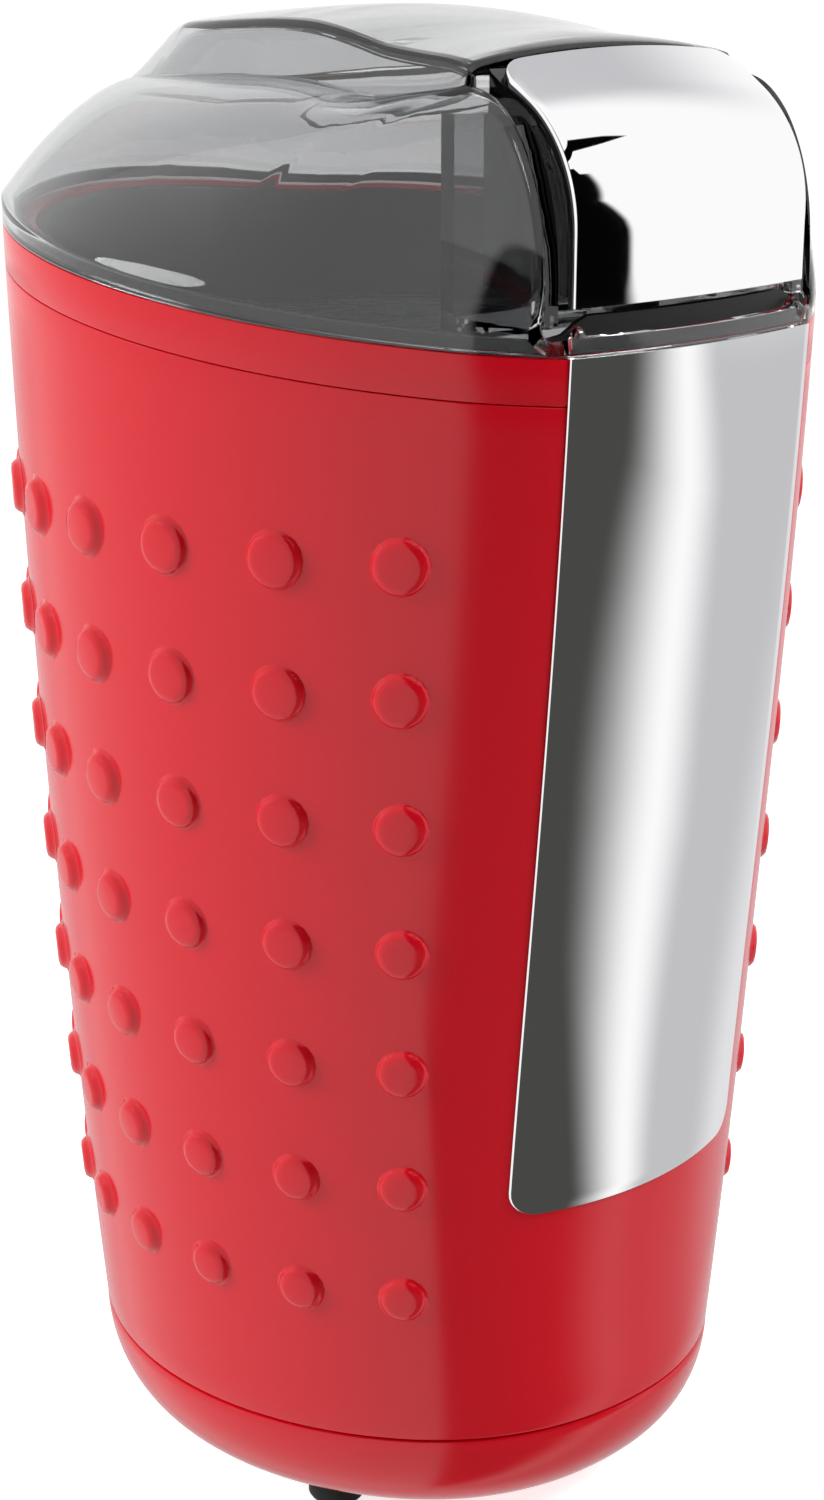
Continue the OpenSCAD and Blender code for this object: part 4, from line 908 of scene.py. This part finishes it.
def makeButtonSheet(name, finish, outer, inner, inset, replaced):
    edge, rings = button["edge"], []
    shares = [-1 + i / 18 for i in range(37)]
    for t, half in faceRows():
        h = half - inset
        front = [facePoint(u * (h - edge), t, outer) for u in shares]
        back = [facePoint(u * h, t, inner) for u in shares[::-1]]
        rings.append([facePoint(-h, t, outer + edge), facePoint(-h + edge * 0.3, t,
                                                                 outer + edge * 0.3)] + front +
                     [facePoint(h - edge * 0.3, t, outer + edge * 0.3),
                      facePoint(h, t, outer + edge)] + back)
    bm = bmesh.new()
    sweepRings(bm, rings, capFirst=True, capLast=True)
    finishPiece(name, bm, finish, "button", replaced, sharpAngle=50)


makeButtonSheet("buttonFace", "chrome", 0, button["sheet"], 0, ["press_button"])
makeButtonSheet("buttonBacking", "glossBlack", button["sheet"] + 0.01,
                button["depth"], 0.12, ())
print("button done")


# ---------- stage ----------
studio = {"floor": "#F4F3F1", "floorGlow": 0.8, "air": "#F2F3F5", "airPower": 0.24,
          "perRadian": 57.3,              # degrees
          "mirrorWhite": "#FFFFFF", "mirrorBlack": "#040404", "mirrorDark": "#484846",
          "mirrorGrey": "#C4C4C6", "mirrorSoft": "#E4E4E6", "mirrorHigh": "#C6C6C9"}


def makeFloor():
    bm = bmesh.new()
    bmesh.ops.create_grid(bm, x_segments=1, y_segments=1, size=6.0)
    floor = addObject("studioFloor", bm)
    # matt painted board
    material, tree, shader = startMaterial("paintedBoard", studio["floor"], Roughness=0.7)[:3]
    floor.data.materials.append(material)
    floor.visible_glossy = False        # bright metal shows the soft boxes instead
    path = addNode(tree, "ShaderNodeLightPath")
    seen = addNode(tree, "ShaderNodeMath", {"operation": "MAXIMUM"},
                   {0: path.outputs["Is Camera Ray"], 1: path.outputs["Is Transmission Ray"]})
    glow = addNode(tree, "ShaderNodeMath", {"operation": "MULTIPLY", 1: studio["floorGlow"]},
                   {0: seen.outputs[0]})
    shader.inputs["Emission Color"].default_value = hexColour("#FFFFFF")
    tree.links.new(glow.outputs[0], shader.inputs["Emission Strength"])


def setStops(ramp, stops):
    # stops are pairs of angle above the horizon, from -60 to 60, and level from 0 to 1
    elements = ramp.color_ramp.elements
    while len(elements) < len(stops):
        elements.new(0.5)
    for element, (angle, value) in zip(elements, stops):
        element.position = (angle + 60) / 120
        element.color = (value, value, value, 1)


def makeWorld():
    # what bright metal sees: a dark flag in front, white boxes at both sides of it
    world = bpy.data.worlds.new("studioWorld")
    bpy.context.scene.world = world
    world.use_nodes = True
    tree = world.node_tree
    background = tree.nodes["Background"]
    place = addNode(tree, "ShaderNodeTexCoord")
    ray = addNode(tree, "ShaderNodeSeparateXYZ", links={0: place.outputs["Generated"]})
    ahead = addNode(tree, "ShaderNodeMath", {"operation": "MULTIPLY", 1: -1.0},
                    {0: ray.outputs["Y"]})
    around = addNode(tree, "ShaderNodeMath", {"operation": "ARCTAN2"},
                     {0: ray.outputs["X"], 1: ahead.outputs[0]})
    turn = addNode(tree, "ShaderNodeMath", {"operation": "MULTIPLY", 1: studio["perRadian"]},
                   {0: around.outputs[0]}).outputs[0]
    above = addNode(tree, "ShaderNodeMath", {"operation": "ARCSINE"}, {0: ray.outputs["Z"]})
    rise = addNode(tree, "ShaderNodeMath", {"operation": "MULTIPLY", 1: studio["perRadian"]},
                   {0: above.outputs[0]}).outputs[0]
    share = addNode(tree, "ShaderNodeMapRange", {"From Min": -60, "From Max": 60},
                    {"Value": rise})
    edgeRamp = addNode(tree, "ShaderNodeValToRGB", links={"Fac": share.outputs["Result"]})
    setStops(edgeRamp, ((-60, 0.16), (-28, 0.29), (-22, 0.36), (-14, 0.43), (-9.5, 0.43),
                        (-7.8, 0.38), (11, 0.34), (27, 0.37), (34, 0.22), (35.5, 0),
                        (40, 0), (40.3, 0.57), (43, 0.55), (47, 0.48), (47.4, 0)))
    edge = addNode(tree, "ShaderNodeMath", {"operation": "MULTIPLY", 1: 100.0},
                   {0: edgeRamp.outputs["Color"]})
    softRamp = addNode(tree, "ShaderNodeValToRGB", links={"Fac": share.outputs["Result"]})
    setStops(softRamp, ((-60, 0.12), (-22, 0.10), (-14, 0.06), (-10, 0.04), (-7, 0.006),
                        (60, 0.006)))
    soft = addNode(tree, "ShaderNodeMath", {"operation": "MULTIPLY", 1: 100.0},
                   {0: softRamp.outputs["Color"]})
    before = addNode(tree, "ShaderNodeMath", {"operation": "MULTIPLY", 1: -1.0},
                     {0: soft.outputs[0]})
    past = addNode(tree, "ShaderNodeMath", {"operation": "SUBTRACT"}, {0: turn, 1: edge.outputs[0]})
    lit = addNode(tree, "ShaderNodeMapRange", {"interpolation_type": "SMOOTHSTEP"},
                  {"Value": past.outputs[0], "From Min": before.outputs[0],
                   "From Max": soft.outputs[0]})
    low = addNode(tree, "ShaderNodeMapRange",
                  {"interpolation_type": "SMOOTHSTEP", "From Min": -7.5, "From Max": -11},
                  {"Value": rise})
    near = addNode(tree, "ShaderNodeMath", {"operation": "MULTIPLY", 1: 0.9},
                   {0: soft.outputs[0]})
    far = addNode(tree, "ShaderNodeMath", {"operation": "MULTIPLY", 1: 2.2},
                  {0: soft.outputs[0]})
    beyond = addNode(tree, "ShaderNodeMapRange", {"interpolation_type": "SMOOTHSTEP"},
                     {"Value": past.outputs[0], "From Min": near.outputs[0],
                      "From Max": far.outputs[0]})
    greyShare = addNode(tree, "ShaderNodeMath", {"operation": "MULTIPLY"},
                        {0: low.outputs["Result"], 1: beyond.outputs["Result"]})
    dark = addNode(tree, "ShaderNodeMix", {"data_type": "RGBA", 6: hexColour(studio["mirrorBlack"]),
                                           7: hexColour(studio["mirrorDark"])},
                   {0: low.outputs["Result"]})
    pale = addNode(tree, "ShaderNodeMix", {"data_type": "RGBA", 6: hexColour(studio["mirrorWhite"]),
                                           7: hexColour(studio["mirrorGrey"])},
                   {0: greyShare.outputs[0]})
    sideways = addNode(tree, "ShaderNodeMapRange",
                       {"interpolation_type": "SMOOTHSTEP", "From Min": 70, "From Max": 94},
                       {"Value": turn})
    lowSide = addNode(tree, "ShaderNodeMath", {"operation": "MULTIPLY"},
                      {0: sideways.outputs["Result"], 1: low.outputs["Result"]})
    pale = addNode(tree, "ShaderNodeMix", {"data_type": "RGBA", 7: hexColour(studio["mirrorSoft"])},
                   {0: lowSide.outputs[0], 6: pale.outputs[2]})
    high = addNode(tree, "ShaderNodeMapRange",
                   {"interpolation_type": "SMOOTHSTEP", "From Min": 24, "From Max": 44},
                   {"Value": rise})
    highTurn = addNode(tree, "ShaderNodeMapRange",
                       {"interpolation_type": "SMOOTHSTEP", "From Min": 78, "From Max": 104},
                       {"Value": turn})
    highSide = addNode(tree, "ShaderNodeMath", {"operation": "MULTIPLY"},
                       {0: high.outputs["Result"], 1: highTurn.outputs["Result"]})
    pale = addNode(tree, "ShaderNodeMix", {"data_type": "RGBA", 7: hexColour(studio["mirrorHigh"])},
                   {0: highSide.outputs[0], 6: pale.outputs[2]})
    ahead = addNode(tree, "ShaderNodeMix", {"data_type": "RGBA"},
                    {0: lit.outputs["Result"], 6: dark.outputs[2], 7: pale.outputs[2]})
    behind = addNode(tree, "ShaderNodeMapRange",
                     {"interpolation_type": "SMOOTHSTEP", "From Min": -35, "From Max": -39},
                     {"Value": turn})
    seen = addNode(tree, "ShaderNodeMix", {"data_type": "RGBA",
                                           7: hexColour(studio["mirrorWhite"])},
                   {0: behind.outputs["Result"], 6: ahead.outputs[2]})
    path = addNode(tree, "ShaderNodeLightPath")
    light = addNode(tree, "ShaderNodeMix", {"data_type": "RGBA", 6: hexColour(studio["air"]),
                                            7: hexColour("#FFFFFF")},
                    {0: path.outputs["Is Camera Ray"]})
    colour = addNode(tree, "ShaderNodeMix", {"data_type": "RGBA"},
                     {0: path.outputs["Is Glossy Ray"], 6: light.outputs[2], 7: seen.outputs[2]})
    tree.links.new(colour.outputs[2], background.inputs["Color"])
    direct = addNode(tree, "ShaderNodeMath", {"operation": "MAXIMUM"},
                     {0: path.outputs["Is Glossy Ray"], 1: path.outputs["Is Camera Ray"]})
    direct = addNode(tree, "ShaderNodeMath", {"operation": "MAXIMUM"},
                     {0: direct.outputs[0], 1: path.outputs["Is Transmission Ray"]})
    power = addNode(tree, "ShaderNodeMapRange", {"To Min": studio["airPower"]},
                    {"Value": direct.outputs[0]})
    tree.links.new(power.outputs["Result"], background.inputs["Strength"])


lamps = {"keyLamp": {"place": (-0.66, 0.46, 0.5), "size": 0.5, "power": 6.6},
         "fillLamp": {"place": (0.28, -0.38, 0.5), "size": 0.3, "power": 2.6}}
lampTarget = (0, 0, 0.1)


def makeLamp(name, place, size, power):
    data = bpy.data.lights.new(name, "AREA")
    data.shape, data.size, data.energy = "DISK", size, power
    lamp = bpy.data.objects.new(name, data)
    bpy.context.scene.collection.objects.link(lamp)
    lamp.location = place
    lamp.rotation_mode = "QUATERNION"
    lamp.rotation_quaternion = (Vector(lampTarget) - Vector(place)).to_track_quat("-Z", "Y")
    lamp.visible_glossy = False


camera = {"place": (-0.22890, -0.24527, 0.19679), "back": (-0.642552, -0.699166, 0.313528),
          "right": (0.73629, -0.67667, 0), "lens": 64.62, "sensor": 36,
          "shift": (0.02244, 0.03648)}


def makeCamera():
    data = bpy.data.cameras.new("camera")
    data.sensor_fit, data.sensor_width, data.lens = "AUTO", camera["sensor"], camera["lens"]
    data.shift_x, data.shift_y = camera["shift"]
    data.clip_start, data.clip_end = 0.01, 20
    eye = bpy.data.objects.new("camera", data)
    bpy.context.scene.collection.objects.link(eye)
    back, right = Vector(camera["back"]), Vector(camera["right"])
    up = back.cross(right)
    turn = Matrix((right, up, back)).transposed()
    eye.matrix_world = Matrix.Translation(camera["place"]) @ turn.to_4x4()
    bpy.context.scene.camera = eye


makeFloor()
makeWorld()
for lampName, lamp in lamps.items():
    makeLamp(lampName, **lamp)
makeCamera()
bpy.context.scene.view_settings.view_transform = "Standard"
print("stage done")
